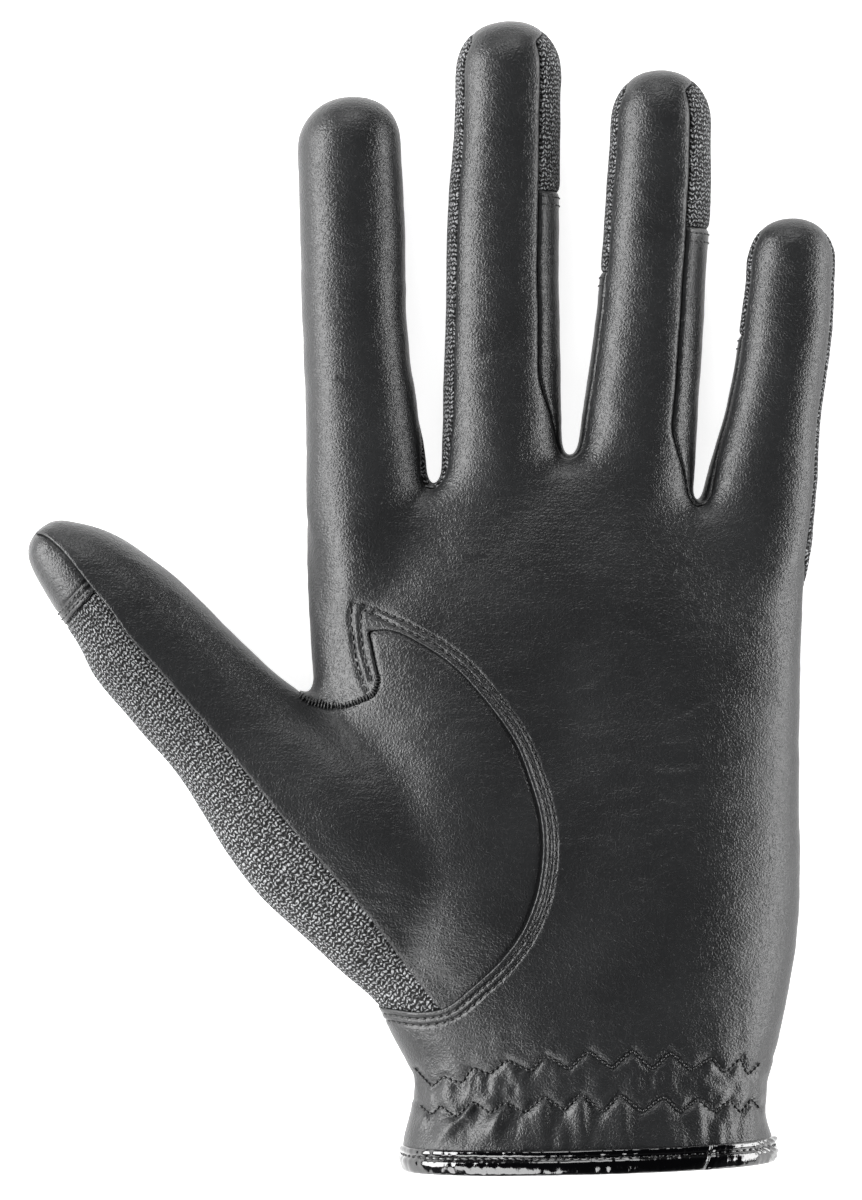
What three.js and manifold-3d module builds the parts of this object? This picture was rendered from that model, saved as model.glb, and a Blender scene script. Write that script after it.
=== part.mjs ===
// A left riding glove lying on its back, palm up, fingers towards +Y and thumb towards -X. Millimetres, +Z up.
// It is sewn from panels: leather on the palm and on the fronts of the fingers and the thumb, knit on the backs,
// side walls between the fingers, a leather cap on the thumb's outer tip, and a binding round the hem.
// Every panel is one wall thick and is cut from one hollow shell, with a narrow kerf where two panels are sewn.

import * as THREE from 'three';
import { mergeVertices } from 'three/addons/utils/BufferGeometryUtils.js';
import Module from 'manifold-3d';

const wasm = await Module();
wasm.setup();

// Driving sizes. The working frame has x = 0 on the wrist's centre line, y = 0 at the hem and z = 0 on the table.
const palmWidth = 92; // across the knuckles
const palmLength = 134.4; // up to the crotch of the middle and ring fingers
const palmDepth = 28; // through the middle of the palm
const wall = 1.2; // thickness of leather and knit
const seamGap = 0.3; // kerf between two sewn panels
const bindingHeight = 4.7; // width of the glossy band round the hem
const bindingProud = 0.6; // how far the band stands out of the leather
const hemLine = 2.2; // y of the hem's middle
const hemTilt = 0.9; // how far the hem's right end is raised and its left end lowered
const gatherDepth = 0.5; // height of the pleats that the wrist elastic draws up
const gatherCount = 10; // pleats across the palm side of the cuff
const webCurve = 0.0118; // fall of the line of the finger crotches, per millimetre squared off its peak
const webPeak = -7; // x of that line's highest point
const webDrop = 12; // most that it falls
const webRound = 3; // rounding of the web between two fingers
const thumbLength = 113; // from the thumb's tip to its heel at the wrist
const thumbWidth = 26; // across the thumb's middle
const thumbDepth = 22; // through the thumb's middle
const thumbCapLength = 17.5; // leather cap along the thumb's outer side, from its tip
const roundness = 2.15; // exponent of the oval sections: 2 is an ellipse and more is squarer
const sole = 0.8; // how far the flattened back would reach below the table

const knitColour = '#2c2d2f';
const leatherColour = '#313234';
const bindingColour = '#0d0d0e';

// The hand without its digits. along is a share of palmLength. left and right, the edges, are shares of palmWidth,
// and crest, the height of the palm's face, of palmDepth. waist is the height of the widest line over crest.
const palmSections = [
  { along: 0.0514, left: -0.377, right: 0.374, crest: 1.12, waist: 0.47 },
  { along: 0.074, left: -0.369, right: 0.365, crest: 1.1, waist: 0.47 },
  { along: 0.102, left: -0.359, right: 0.361, crest: 1.08, waist: 0.47 },
  { along: 0.132, left: -0.355, right: 0.363, crest: 1.06, waist: 0.47 },
  { along: 0.163, left: -0.367, right: 0.375, crest: 1.05, waist: 0.47 },
  { along: 0.194, left: -0.393, right: 0.387, crest: 1.05, waist: 0.46 },
  { along: 0.232, left: -0.421, right: 0.399, crest: 1.04, waist: 0.45 },
  { along: 0.286, left: -0.454, right: 0.412, crest: 1.03, waist: 0.44 },
  { along: 0.347, left: -0.485, right: 0.424, crest: 1.03, waist: 0.43 },
  { along: 0.44, left: -0.51, right: 0.432, crest: 1.0, waist: 0.43 },
  { along: 0.562, left: -0.542, right: 0.43, crest: 0.96, waist: 0.43 },
  { along: 0.676, left: -0.5625, right: 0.434, crest: 0.91, waist: 0.43 },
  { along: 0.777, left: -0.569, right: 0.438, crest: 0.85, waist: 0.43 },
  { along: 0.869, left: -0.571, right: 0.442, crest: 0.77, waist: 0.44 },
  { along: 0.935, left: -0.573, right: 0.455, crest: 0.69, waist: 0.46 },
  { along: 0.978, left: -0.573, right: 0.462, crest: 0.64, waist: 0.48 },
];

// The web between the fingers closes over webRound: how far along it each ring is, and how open the ring still is.
const webRows = [
  { ahead: 0.55, open: 0.84 },
  { ahead: 0.88, open: 0.5 },
  { ahead: 1, open: 0.06 },
];

// Mounds and hollows of the palm's face: centre and reach as shares of palmWidth and palmLength, rise of palmDepth.
const palmRelief = [
  { x: -0.33, y: 0.5, reachX: 0.2, reachY: 0.17, rise: 0.1 }, // ball of the thumb
  { x: 0.26, y: 0.42, reachX: 0.16, reachY: 0.26, rise: 0.05 }, // heel of the hand
  { x: -0.02, y: 0.62, reachX: 0.2, reachY: 0.2, rise: -0.06 }, // hollow of the palm
];

// The four fingers. rootY and tipY are in millimetres from the hem, width and depth are the finger's own sizes, and
// curl is how far the tip lifts. In a row, along is a share of the finger's length, x of palmWidth, wide of width.
// Seams are angles round the section in degrees: 0 is the right side, 90 the front and 180 the left side. front is
// where the leather ends and back is where the knit of the back ends. wallTo is how far up the finger's length the
// side wall between them runs, and past it the knit wraps round to the leather. A side without a wall has 0.
const fingers = [
  {
    name: 'index', rootY: 126, tipY: 201.9, tipX: -0.477, width: 20, depth: 17.4, curl: 3, tipDrop: 0.5,
    front: { right: -4, left: 214 }, back: { right: -38, left: 214 }, wallTo: { right: 0.84, left: 0 },
    sections: [
      { along: 0, x: -0.449, wide: 1.16 }, { along: 0.104, x: -0.4524, wide: 1.125 },
      { along: 0.222, x: -0.4626, wide: 1.07 }, { along: 0.4, x: -0.474, wide: 1.005 },
      { along: 0.638, x: -0.481, wide: 0.99 }, { along: 0.865, x: -0.485, wide: 0.97 },
    ],
  },
  {
    name: 'middle', rootY: 126, tipY: 215.8, tipX: -0.166, width: 21, depth: 18, curl: 4, tipDrop: 0.1,
    front: { right: 53, left: 148 }, back: { right: -38, left: 218 }, wallTo: { right: 0.645, left: 0.84 },
    sections: [
      { along: 0, x: -0.175, wide: 1.114 }, { along: 0.12, x: -0.1742, wide: 1.08 },
      { along: 0.296, x: -0.1742, wide: 1.062 }, { along: 0.446, x: -0.1742, wide: 1.027 },
      { along: 0.596, x: -0.17, wide: 0.99 }, { along: 0.87, x: -0.164, wide: 0.957 },
    ],
  },
  {
    name: 'ring', rootY: 126, tipY: 206.5, tipX: 0.148, width: 20, depth: 17.6, curl: 5, tipDrop: 0.1,
    front: { right: 57, left: 154 }, back: { right: -38, left: 218 }, wallTo: { right: 0.634, left: 0.535 },
    sections: [
      { along: 0, x: 0.089, wide: 1.14 }, { along: 0.128, x: 0.0988, wide: 1.115 },
      { along: 0.296, x: 0.1141, wide: 1.07 }, { along: 0.436, x: 0.1253, wide: 1.02 },
      { along: 0.6, x: 0.1355, wide: 0.985 }, { along: 0.865, x: 0.1467, wide: 0.965 },
    ],
  },
  {
    name: 'little', rootY: 120, tipY: 178.9, tipX: 0.416, width: 18, depth: 15.6, curl: 6, tipDrop: 0.1,
    front: { right: 20, left: 162 }, back: { right: 20, left: 218 }, wallTo: { right: 0, left: 0.633 },
    sections: [
      { along: 0, x: 0.337, wide: 1.25 }, { along: 0.156, x: 0.3526, wide: 1.167 },
      { along: 0.27, x: 0.3648, wide: 1.083 }, { along: 0.46, x: 0.3872, wide: 1.0 },
      { along: 0.65, x: 0.4046, wide: 0.969 }, { along: 0.85, x: 0.4127, wide: 0.925 },
    ],
  },
];
const tipLength = 0.5; // length of a fingertip's dome over the finger's width
const domeTurns = [24, 47, 72]; // rings of the dome, in degrees from its foot
const bury = 20; // how far a finger's tube runs down into the hand
const buryNarrow = 0.7; // width of its end there over its width at the root
const rootDeep = 1.08; // depth of a finger at its root over its depth
const crotchFront = 0.5; // height of the leather's edge at a crotch, of palmDepth
const crotchBack = 0.17; // height of the knit's edge there
const crotchEase = 16; // length over which an edge climbs from the crotch to its place on the finger
const fingerLine = 118; // y where the edges of the hand's panels become those of the fingers'
const tipEdge = 6; // degrees that the leather's edge passes below a fingertip's sides

// Height of the edge of the palm's leather on the hand's two sides, as a share of palmDepth.
const sideSeam = [
  { along: 0, left: 0.14, right: 0.14 },
  { along: 0.64, left: 0.14, right: 0.14 },
  { along: 0.77, left: 0.14, right: 0.3 },
  { along: 0.88, left: 0.13, right: 0.41 },
];

// The thumb, on a straight line from its tip to its heel. along is a share of thumbLength, half the half width and
// shift the centre's offset towards the fingers, shares of thumbWidth, rise and drop the half depths above and below
// the middle and mid the middle's height, shares of thumbDepth. seam is where the front seam lies across it, -1 to 1.
const thumbLine = { tipX: -104.8, tipY: 120.7, angle: -44 };
const thumbSections = [
  { along: 0.016, half: 0.135, shift: 0.02, rise: 0.15, drop: 0.15, mid: 0.74, seam: 0.3 },
  { along: 0.05, half: 0.25, shift: 0.05, rise: 0.27, drop: 0.27, mid: 0.73, seam: 0.15 },
  { along: 0.094, half: 0.33, shift: 0.085, rise: 0.36, drop: 0.36, mid: 0.71, seam: -0.05 },
  { along: 0.18, half: 0.408, shift: 0.077, rise: 0.43, drop: 0.43, mid: 0.67, seam: -0.14 },
  { along: 0.258, half: 0.471, shift: 0.033, rise: 0.47, drop: 0.47, mid: 0.63, seam: -0.14 },
  { along: 0.355, half: 0.487, shift: 0.01, rise: 0.5, drop: 0.5, mid: 0.59, seam: -0.16 },
  { along: 0.45, half: 0.51, shift: -0.006, rise: 0.53, drop: 0.53, mid: 0.57, seam: -0.18 },
  { along: 0.537, half: 0.575, shift: -0.017, rise: 0.58, drop: 0.56, mid: 0.56, seam: -0.22 },
  { along: 0.62, half: 0.68, shift: 0.0, rise: 0.64, drop: 0.57, mid: 0.56, seam: -0.27 },
  { along: 0.715, half: 0.76, shift: 0.03, rise: 0.7, drop: 0.58, mid: 0.56, seam: -0.33 },
  { along: 0.84, half: 0.78, shift: 0.06, rise: 0.7, drop: 0.58, mid: 0.56, seam: -0.42 },
  { along: 0.95, half: 0.72, shift: 0.03, rise: 0.58, drop: 0.56, mid: 0.56, seam: -0.52 },
];
const thumbBackSeam = 0.7; // where the back seam lies across the thumb, from -1 to 1

// Where the thumb's panels meet the hand's, as shares of palmWidth and palmLength: the web at the thumb's crotch,
// then over the palm's face, up to the point of the panel and round the ball of the thumb, then the heel at the
// wrist. On the back the knit meets along a plain line.
const thumbWeb = [
  { x: -0.9, y: 1.1 }, { x: -0.61, y: 0.71 }, { x: -0.583, y: 0.668 }, { x: -0.544, y: 0.656 },
];
const thumbFace = [
  { x: -0.493, y: 0.655 }, { x: -0.457, y: 0.664 }, { x: -0.438, y: 0.671 }, { x: -0.427, y: 0.69 },
  { x: -0.436, y: 0.723 }, { x: -0.4465, y: 0.758 }, { x: -0.391, y: 0.757 }, { x: -0.318, y: 0.731 },
  { x: -0.267, y: 0.705 }, { x: -0.222, y: 0.672 }, { x: -0.176, y: 0.632 }, { x: -0.146, y: 0.598 },
  { x: -0.122, y: 0.555 }, { x: -0.102, y: 0.507 }, { x: -0.096, y: 0.462 }, { x: -0.102, y: 0.419 },
  { x: -0.114, y: 0.385 }, { x: -0.14, y: 0.344 }, { x: -0.183, y: 0.305 }, { x: -0.236, y: 0.271 },
  { x: -0.286, y: 0.243 }, { x: -0.34, y: 0.234 },
];
const thumbHeel = [{ x: -0.395, y: 0.236 }, { x: -0.7, y: 0.236 }, { x: -2, y: 0.3 }, { x: -2, y: 1.1 }];
const thumbBack = [
  { x: -0.52, y: 0.63 }, { x: -0.47, y: 0.55 }, { x: -0.435, y: 0.46 }, { x: -0.41, y: 0.37 },
  { x: -0.395, y: 0.3 },
];
const thumbSplit = 10; // height where the front line takes over from the back line

// Facets round a section, on the outside and on the hidden inside.
const outer = { face: gatherCount * 3, back: 10, finger: 12, thumb: 16 };
const inner = { face: 16, back: 8, finger: 10, thumb: 12 };
const far = 60; // reach of a cutting solid beyond the glove
const lap = 2; // overlap of two cutting solids that act as one
const kerf = seamGap / 2;

const { lerp, smoothstep, degToRad } = THREE.MathUtils;
const xAxis = new THREE.Vector3(1, 0, 0);
const bell = (t) => Math.exp(-t * t);

// The value of a named column at a place between two rows of a table.
function column(rows, key, along) {
  const next = rows.findIndex((row) => row.along >= along);
  if (next <= 0) return next === 0 ? rows[0][key] : rows.at(-1)[key];
  const [a, b] = [rows[next - 1], rows[next]];
  return lerp(a[key], b[key], (along - a.along) / (b.along - a.along));
}

// A closed mesh becomes a solid, turned so that its faces look outwards.
function solidOf(geometry) {
  geometry.deleteAttribute('normal');
  geometry.deleteAttribute('uv');
  const merged = mergeVertices(geometry, 1e-4);
  const vertProperties = new Float32Array(merged.attributes.position.array);
  const triVerts = new Uint32Array(merged.index.array);
  const made = new wasm.Manifold(new wasm.Mesh({ numProp: 3, vertProperties, triVerts }));
  if (made.volume() > 0) return made;
  return new wasm.Manifold(new wasm.Mesh({ numProp: 3, vertProperties, triVerts: triVerts.reverse() }));
}

function union(solids) {
  return solids.reduce((sum, solid) => sum.add(solid));
}

// Skins a row of closed rings, each with the same number of points. An end closes on the given point or on the
// middle of its ring, or both ends straight across, from the points before split to the points after it.
function skin(rings, start, end, split = 0) {
  const sides = rings[0].length;
  const middle = (ring) => ring.reduce((sum, p) => sum.add(p), new THREE.Vector3()).divideScalar(sides);
  const ends = split ? [] : [start ?? middle(rings[0]), end ?? middle(rings.at(-1))];
  const points = [...rings.flat(), ...ends];
  const last = (rings.length - 1) * sides;
  const faces = [];
  for (let i = 0; i < sides; i++) {
    const j = (i + 1) % sides;
    for (let base = 0; base < last; base += sides) {
      const [a, b, c, d] = [base + i, base + j, base + sides + j, base + sides + i];
      faces.push(a, b, c, a, c, d);
    }
    if (!split) faces.push(last + sides, j, i, last + sides + 1, last + i, last + j);
  }
  const steps = sides - split;
  for (let i = 0, j = 0; split && i + j < sides; ) {
    const ahead = j === steps || (i < split && (i + 1) / split <= (j + 1) / steps);
    const [a, b] = [i, (sides - j) % sides];
    if (ahead) i += 1;
    else j += 1;
    const c = ahead ? i : sides - j;
    if (a !== b && c !== a && c !== b) faces.push(c, a, b, last + c, last + b, last + a);
  }
  const geometry = new THREE.BufferGeometry();
  geometry.setAttribute('position', new THREE.Float32BufferAttribute(points.flatMap((p) => p.toArray()), 3));
  geometry.setIndex(faces);
  return solidOf(geometry);
}

// Moves the sides of a closed outline outwards, or inwards when grow is less than 0.
function offset(outline, grow) {
  const points = outline.map((p) => new THREE.Vector2(p.x, p.y));
  const turn = THREE.ShapeUtils.area(points) > 0 ? 1 : -1;
  return points.map((p, i) => {
    const before = p.clone().sub(points.at(i - 1)).normalize();
    const after = points[(i + 1) % points.length].clone().sub(p).normalize();
    const normal = new THREE.Vector2(before.y + after.y, -before.x - after.x);
    const reach = (2 * turn * grow) / Math.max(normal.lengthSq(), 0.5);
    return p.clone().addScaledVector(normal, reach);
  });
}

// An upright prism over an outline, between two heights.
function prism(outline, low, high) {
  const geometry = new THREE.ExtrudeGeometry(new THREE.Shape(outline), {
    depth: high - low,
    bevelEnabled: false,
  });
  return solidOf(geometry.translate(0, 0, low));
}

// A cutting solid: in each row an outline { x, y } stands upright on the line across, with its origin at centre.
function cutter(rows, grow) {
  const ends = [rows[0], rows.at(-1)].map((row) => row.centre);
  const ahead = ends[1].clone().sub(ends[0]).setZ(0).normalize();
  const rings = rows.map(({ centre, across, outline }, i) => {
    const shift = i === 0 ? -grow : i === rows.length - 1 ? grow : 0;
    const from = centre.clone().addScaledVector(ahead, shift);
    return offset(outline, grow).map((p) => {
      const point = from.clone().addScaledVector(across, p.x);
      point.z += p.y;
      return point;
    });
  });
  return skin(rings);
}

// A point of a closed oval section at an angle round it.
function oval(turn, half, rise, drop) {
  const power = 2 / roundness;
  const [c, s] = [Math.cos(turn), Math.sin(turn)];
  return {
    x: half * Math.sign(c) * Math.abs(c) ** power,
    y: (s >= 0 ? rise : -drop) * Math.abs(s) ** power,
  };
}

function ovalRing(centre, across, turns, half, rise, drop, floor) {
  return turns.map((turn) => {
    const at = oval(turn, half, rise, drop);
    const point = centre.clone().addScaledVector(across, at.x);
    point.z = Math.max(point.z + at.y, floor);
    return point;
  });
}

function evenTurns(sides, phase) {
  return Array.from({ length: sides }, (_, i) => (2 * Math.PI * (i + phase)) / sides);
}

// The palm. inset moves its surface inwards, or outwards when it is less than 0. open flattens it towards its waist.
function palmTurns({ face, back }) {
  return [...evenTurns(2 * face, 0).slice(0, face), ...evenTurns(2 * back, 0).slice(back)];
}

function webFall(x) {
  return Math.min(webCurve * (x - webPeak) ** 2, webDrop);
}

function palmRing(section, inset, open = 1) {
  const left = section.left * palmWidth + inset;
  const right = section.right * palmWidth - inset;
  const crest = section.crest * palmDepth;
  const waist = section.waist * crest;
  const centre = new THREE.Vector3((left + right) / 2, section.along * palmLength, waist);
  const rise = crest - waist - inset;
  const drop = waist + sole - inset;
  const turns = palmTurns(inset > 0 ? inner : outer);
  const ring = ovalRing(centre, xAxis, turns, (right - left) / 2, rise, drop, Math.max(inset, 0));
  const bend = smoothstep(section.along, 0.68, 0.975);
  const hem = 1 - smoothstep(section.along, 0.03, 0.3);
  const gather = inset > 0 ? 0 : gatherDepth * bell((section.along - 0.085) / 0.05);
  ring.forEach((point, i) => {
    const up = Math.max(Math.sin(turns[i]), 0);
    for (const r of palmRelief) {
      const near = bell((point.x / palmWidth - r.x) / r.reachX) * bell((section.along - r.y) / r.reachY);
      point.z += r.rise * palmDepth * near * up;
    }
    point.z += gather * Math.cos((2 * Math.PI * i) / 3) * up;
    point.z = lerp(waist, point.z, open);
    point.y += (hemTilt * hem * point.x) / (palmWidth * 0.37) - (webFall(point.x) + inset) * bend;
  });
  return ring;
}

// The hidden inside needs only every other row of a table.
function rowsFor(inset, rows) {
  return inset > 0 ? rows.filter((_, i) => i % 2 === 0 || i === rows.length - 1) : rows;
}

function palmSolid(inset) {
  const rings = rowsFor(inset, palmSections).map((section) => palmRing(section, inset));
  const last = palmSections.at(-1);
  for (const { ahead, open } of webRows) {
    rings.push(palmRing({ ...last, along: last.along + (ahead * webRound) / palmLength }, inset, open));
  }
  if (inset > 0) rings.unshift(rings[0].map((p) => p.clone().setY(-bindingHeight)));
  return skin(rings, undefined, undefined, (inset > 0 ? inner : outer).face);
}

// A finger's section at a share of its length: centre, half width and half depth.
function fingerAt(finger, along) {
  const t = Math.max(along, 0);
  const domeFoot = 1 - (tipLength * finger.width) / (finger.tipY - finger.rootY);
  const rows = [...finger.sections, { ...finger.sections.at(-1), along: 1, x: finger.tipX }];
  const depth = (finger.depth * lerp(rootDeep, 1, Math.min(t * 2.5, 1))) / 2;
  const x = column(rows, 'x', along) * palmWidth;
  return {
    centre: new THREE.Vector3(x, lerp(finger.rootY, finger.tipY, along), depth + finger.curl * t * t),
    half: (column(rows, 'wide', along) * finger.width * (along < 0 ? buryNarrow : 1)) / 2,
    depth: along < 0 ? depth * 0.95 : depth,
    domeFoot,
  };
}

function fingerSolid(finger, inset) {
  const length = finger.tipY - finger.rootY;
  const { domeFoot } = fingerAt(finger, 1);
  const below = (inset - bury) / length;
  const shares = [below, ...rowsFor(inset, finger.sections).map((s) => s.along)];
  const rows = shares.map((along) => ({ along, share: 1 }));
  const dome = 1 - domeFoot - inset / length;
  for (const turn of rowsFor(inset, domeTurns)) {
    const at = oval(degToRad(turn), 1, 1, 1);
    rows.push({ along: domeFoot + dome * at.y, share: at.x });
  }
  const turns = evenTurns((inset > 0 ? inner : outer).finger, 0.5);
  const rings = rows.map(({ along, share }) => {
    const { centre, half, depth } = fingerAt(finger, along);
    const rise = (depth - inset) * share;
    return ovalRing(centre, xAxis, turns, (half - inset) * share, rise, rise + sole * 0.5 * share, inset);
  });
  return skin(rings, undefined, fingerAt(finger, 1 - inset / length).centre);
}

// The thumb's frame: ahead runs from its tip to its heel, and over across it towards the fingers.
const thumbTurn = degToRad(thumbLine.angle);
const thumbAhead = new THREE.Vector3(Math.cos(thumbTurn), Math.sin(thumbTurn), 0);
const thumbOver = new THREE.Vector3(-Math.sin(thumbTurn), Math.cos(thumbTurn), 0);

function thumbCentre(section, ahead = 0) {
  return new THREE.Vector3(thumbLine.tipX, thumbLine.tipY, section.mid * thumbDepth)
    .addScaledVector(thumbAhead, section.along * thumbLength + ahead)
    .addScaledVector(thumbOver, section.shift * thumbWidth);
}

function thumbSolid(inset) {
  const turns = evenTurns((inset > 0 ? inner : outer).thumb, 0.5);
  const rings = rowsFor(inset, thumbSections).map((section, row) => {
    const centre = thumbCentre(section, row === 0 ? inset : 0);
    const rise = section.rise * thumbDepth - inset;
    const drop = section.drop * thumbDepth - inset;
    return ovalRing(centre, thumbOver, turns, section.half * thumbWidth - inset, rise, drop, inset);
  });
  return skin(rings, thumbCentre({ ...thumbSections[0], along: 0 }, inset));
}

// The shell: the outside of everything less the inside, open at the wrist.
function whole(inset) {
  return union([palmSolid(inset), ...fingers.map((finger) => fingerSolid(finger, inset)), thumbSolid(inset)]);
}

// Halfway across the gap between a finger and its neighbour.
function gapMiddle(k, y) {
  const [a, b] = [fingers[k], fingers[k + 1]].map((f) => fingerAt(f, (y - f.rootY) / (f.tipY - f.rootY)));
  return (a.centre.x + a.half + b.centre.x - b.half) / 2;
}

function crotchY(k) {
  return palmLength - webFall(gapMiddle(k, palmLength));
}

// Where a seam passes a finger's section, from the section's centre: on the finger's skin, or lower down on the way
// to the edge that it has at the crotch.
function seamPoint(k, side, turn, height, at) {
  const on = oval(degToRad(turn), at.half, at.depth, at.depth);
  const gap = side === 'right' ? k : k - 1;
  if (gap < 0 || gap > fingers.length - 2) return on;
  const near = 1 - smoothstep(at.centre.y, crotchY(gap), crotchY(gap) + crotchEase);
  return {
    x: lerp(on.x, gapMiddle(gap, at.centre.y) - at.centre.x, near),
    y: lerp(on.y, height * palmDepth - at.centre.z, near),
  };
}

// A ray from the apex through a point, out to a given distance across.
function ray(apex, through, reach) {
  const slope = (through.y - apex.y) / (through.x - apex.x);
  return { x: reach, y: apex.y + slope * (reach - apex.x) };
}

function reachOf(k, side, at) {
  const gap = side === 'right' ? k : k - 1;
  const sign = side === 'right' ? 1 : -1;
  const free = sign * (at.half + 2 * lap);
  if (gap < 0 || gap > fingers.length - 2) return free;
  const clear = at.centre.y > crotchY(gap) + 3;
  return clear ? sign * (at.half + 1) : gapMiddle(gap, at.centre.y) - at.centre.x + sign * 0.6;
}

// The rows of a finger's cutting solids, as shares of its length.
function seamRows(k) {
  const finger = fingers[k];
  const length = finger.tipY - finger.rootY;
  const { domeFoot } = fingerAt(finger, 1);
  const foot = (fingerLine - seamGap - finger.rootY) / length;
  const rows = [foot, domeFoot, (1 + domeFoot) / 2, 1, 1.1, finger.wallTo.left, finger.wallTo.right];
  for (const gap of [k - 1, k]) {
    if (gap < 0 || gap > fingers.length - 2) continue;
    for (const rise of [-4, 0, 4, 8, 12, crotchEase]) {
      rows.push((crotchY(gap) + rise - finger.rootY) / length);
    }
  }
  return [...new Set(rows)].sort((a, b) => a - b).filter((along) => along >= foot);
}

// Everything of a finger that is in front of its two front seams.
function fingerFront(k, grow) {
  const finger = fingers[k];
  const { domeFoot } = fingerAt(finger, 1);
  const rows = seamRows(k).map((along) => {
    const at = fingerAt(finger, along);
    const over = smoothstep(along, domeFoot, 0.99);
    const apex = { x: 0, y: -over * finger.tipDrop * at.depth };
    const turns = {
      right: lerp(finger.front.right, Math.min(finger.front.right, -tipEdge), over),
      left: lerp(finger.front.left, Math.max(finger.front.left, 180 + tipEdge), over),
    };
    const [right, left] = ['right', 'left'].map((side) => {
      const through = seamPoint(k, side, turns[side], crotchFront, at);
      return ray(apex, { x: through.x, y: through.y + apex.y * over }, reachOf(k, side, at));
    });
    return {
      centre: at.centre,
      across: xAxis,
      outline: [apex, right, { x: right.x, y: far }, { x: left.x, y: far }, left],
    };
  });
  return cutter(rows, grow);
}

// The side wall of a finger, between its front seam and its back seam.
function sideWall(k, side, grow) {
  const finger = fingers[k];
  const length = finger.tipY - finger.rootY;
  const gap = side === 'right' ? k : k - 1;
  const start = (crotchY(gap) - 4 - finger.rootY) / length;
  const shares = seamRows(k).filter((along) => along >= start && along <= finger.wallTo[side]);
  const rows = shares.map((along) => {
    const at = fingerAt(finger, along);
    const apex = { x: 0, y: 0 };
    const reach = reachOf(k, side, at);
    const front = ray(apex, seamPoint(k, side, finger.front[side], crotchFront, at), reach);
    const back = ray(apex, seamPoint(k, side, finger.back[side], crotchBack, at), reach);
    return { centre: at.centre, across: xAxis, outline: [apex, back, front] };
  });
  return cutter(rows, grow);
}

function fourchetteSpace(gap, grow) {
  return union([sideWall(gap, 'right', grow), sideWall(gap + 1, 'left', grow)]);
}

// Everything of the hand that is in front of its two side seams.
function palmFront(grow) {
  const rows = sideSeam.map(({ along, left, right }, i) => {
    const y = i === 0 ? -lap : along * palmLength;
    const [l, r] = [column(palmSections, 'left', along), column(palmSections, 'right', along)];
    const [zl, zr] = [left * palmDepth, right * palmDepth];
    return {
      centre: new THREE.Vector3(0, Math.min(y, fingerLine + seamGap), 0),
      across: xAxis,
      outline: [
        { x: -far * 2, y: zl }, { x: l * palmWidth, y: zl }, { x: r * palmWidth, y: zr },
        { x: far * 2, y: zr }, { x: far * 2, y: far }, { x: -far * 2, y: far },
      ],
    };
  });
  return cutter(rows, grow);
}

function leatherSpace(grow) {
  return union([palmFront(grow), ...fingers.map((_, k) => fingerFront(k, grow))]);
}

// The thumb's part of the shell, and in it what is on the finger side of the thumb's two seams, and its cap.
function thumbSpace(grow) {
  const scaled = (rows) => rows.map((p) => ({ x: p.x * palmWidth, y: p.y * palmLength }));
  const front = offset(scaled([...thumbWeb, ...thumbFace, ...thumbHeel]), grow);
  const back = offset(scaled([...thumbWeb, ...thumbBack, ...thumbHeel]), grow);
  return prism(front, thumbSplit - 0.01, far).add(prism(back, -far, thumbSplit));
}

function thumbInner(grow) {
  const ends = [
    { ...thumbSections[0], along: -0.1 },
    ...thumbSections,
    { ...thumbSections.at(-1), along: 1.2 },
  ];
  const rows = ends.map((section) => {
    const half = section.half * thumbWidth;
    const turnOf = (seam) => Math.acos(Math.sign(seam) * Math.abs(seam) ** (roundness / 2));
    const front = oval(turnOf(section.seam), half, section.rise * thumbDepth, section.drop * thumbDepth);
    const back = oval(-turnOf(thumbBackSeam), half, section.rise * thumbDepth, section.drop * thumbDepth);
    const apex = { x: 0, y: 0 };
    const stretch = (p) => ({ x: (p.x * far) / Math.hypot(p.x, p.y), y: (p.y * far) / Math.hypot(p.x, p.y) });
    const outline = [apex, stretch(back), { x: far * 1.5, y: -far / 2 }, { x: far * 1.5, y: far }, stretch(front)];
    return { centre: thumbCentre(section), across: thumbOver, outline };
  });
  return cutter(rows, grow);
}

function thumbEnd(grow) {
  const outline = [{ x: -far, y: -far }, { x: far, y: -far }, { x: far, y: far }, { x: -far, y: far }];
  const rows = [-0.2, thumbCapLength / thumbLength].map((along) => ({
    centre: thumbCentre({ along, shift: 0, mid: 0 }),
    across: thumbOver,
    outline,
  }));
  return cutter(rows, grow);
}

function bindingSolid() {
  const ends = [hemLine, hemLine + bindingHeight].map((y) => ({ ...palmSections[0], along: y / palmLength }));
  const ring = (inset) => ends.map((section) => palmRing(section, inset));
  const hole = ring(wall + 0.2);
  hole[0].forEach((p) => (p.y -= lap));
  hole[1].forEach((p) => (p.y += lap));
  return skin(ring(-bindingProud)).subtract(skin(hole));
}

const hemKerf = prism(
  [
    { x: -far, y: -far },
    { x: far, y: -far },
    { x: far, y: hemLine + bindingHeight + seamGap + (hemTilt * far) / (palmWidth * 0.37) },
    { x: -far, y: hemLine + bindingHeight + seamGap - (hemTilt * far) / (palmWidth * 0.37) },
  ],
  -1,
  far,
);
const shell = whole(0).subtract(whole(wall)).subtract(hemKerf);
const spaces = [0, 1, 2].map((gap) => ({ thin: fourchetteSpace(gap, -kerf), thick: fourchetteSpace(gap, kerf) }));
const betweenFingers = union(spaces.map((space) => space.thick));
const hand = shell.subtract(thumbSpace(kerf)).subtract(betweenFingers);
const thumb = shell.intersect(thumbSpace(-kerf));
const outerThumb = thumb.subtract(thumbInner(kerf));

const largest = (solid) => solid.decompose().sort((a, b) => b.volume() - a.volume())[0];

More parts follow.
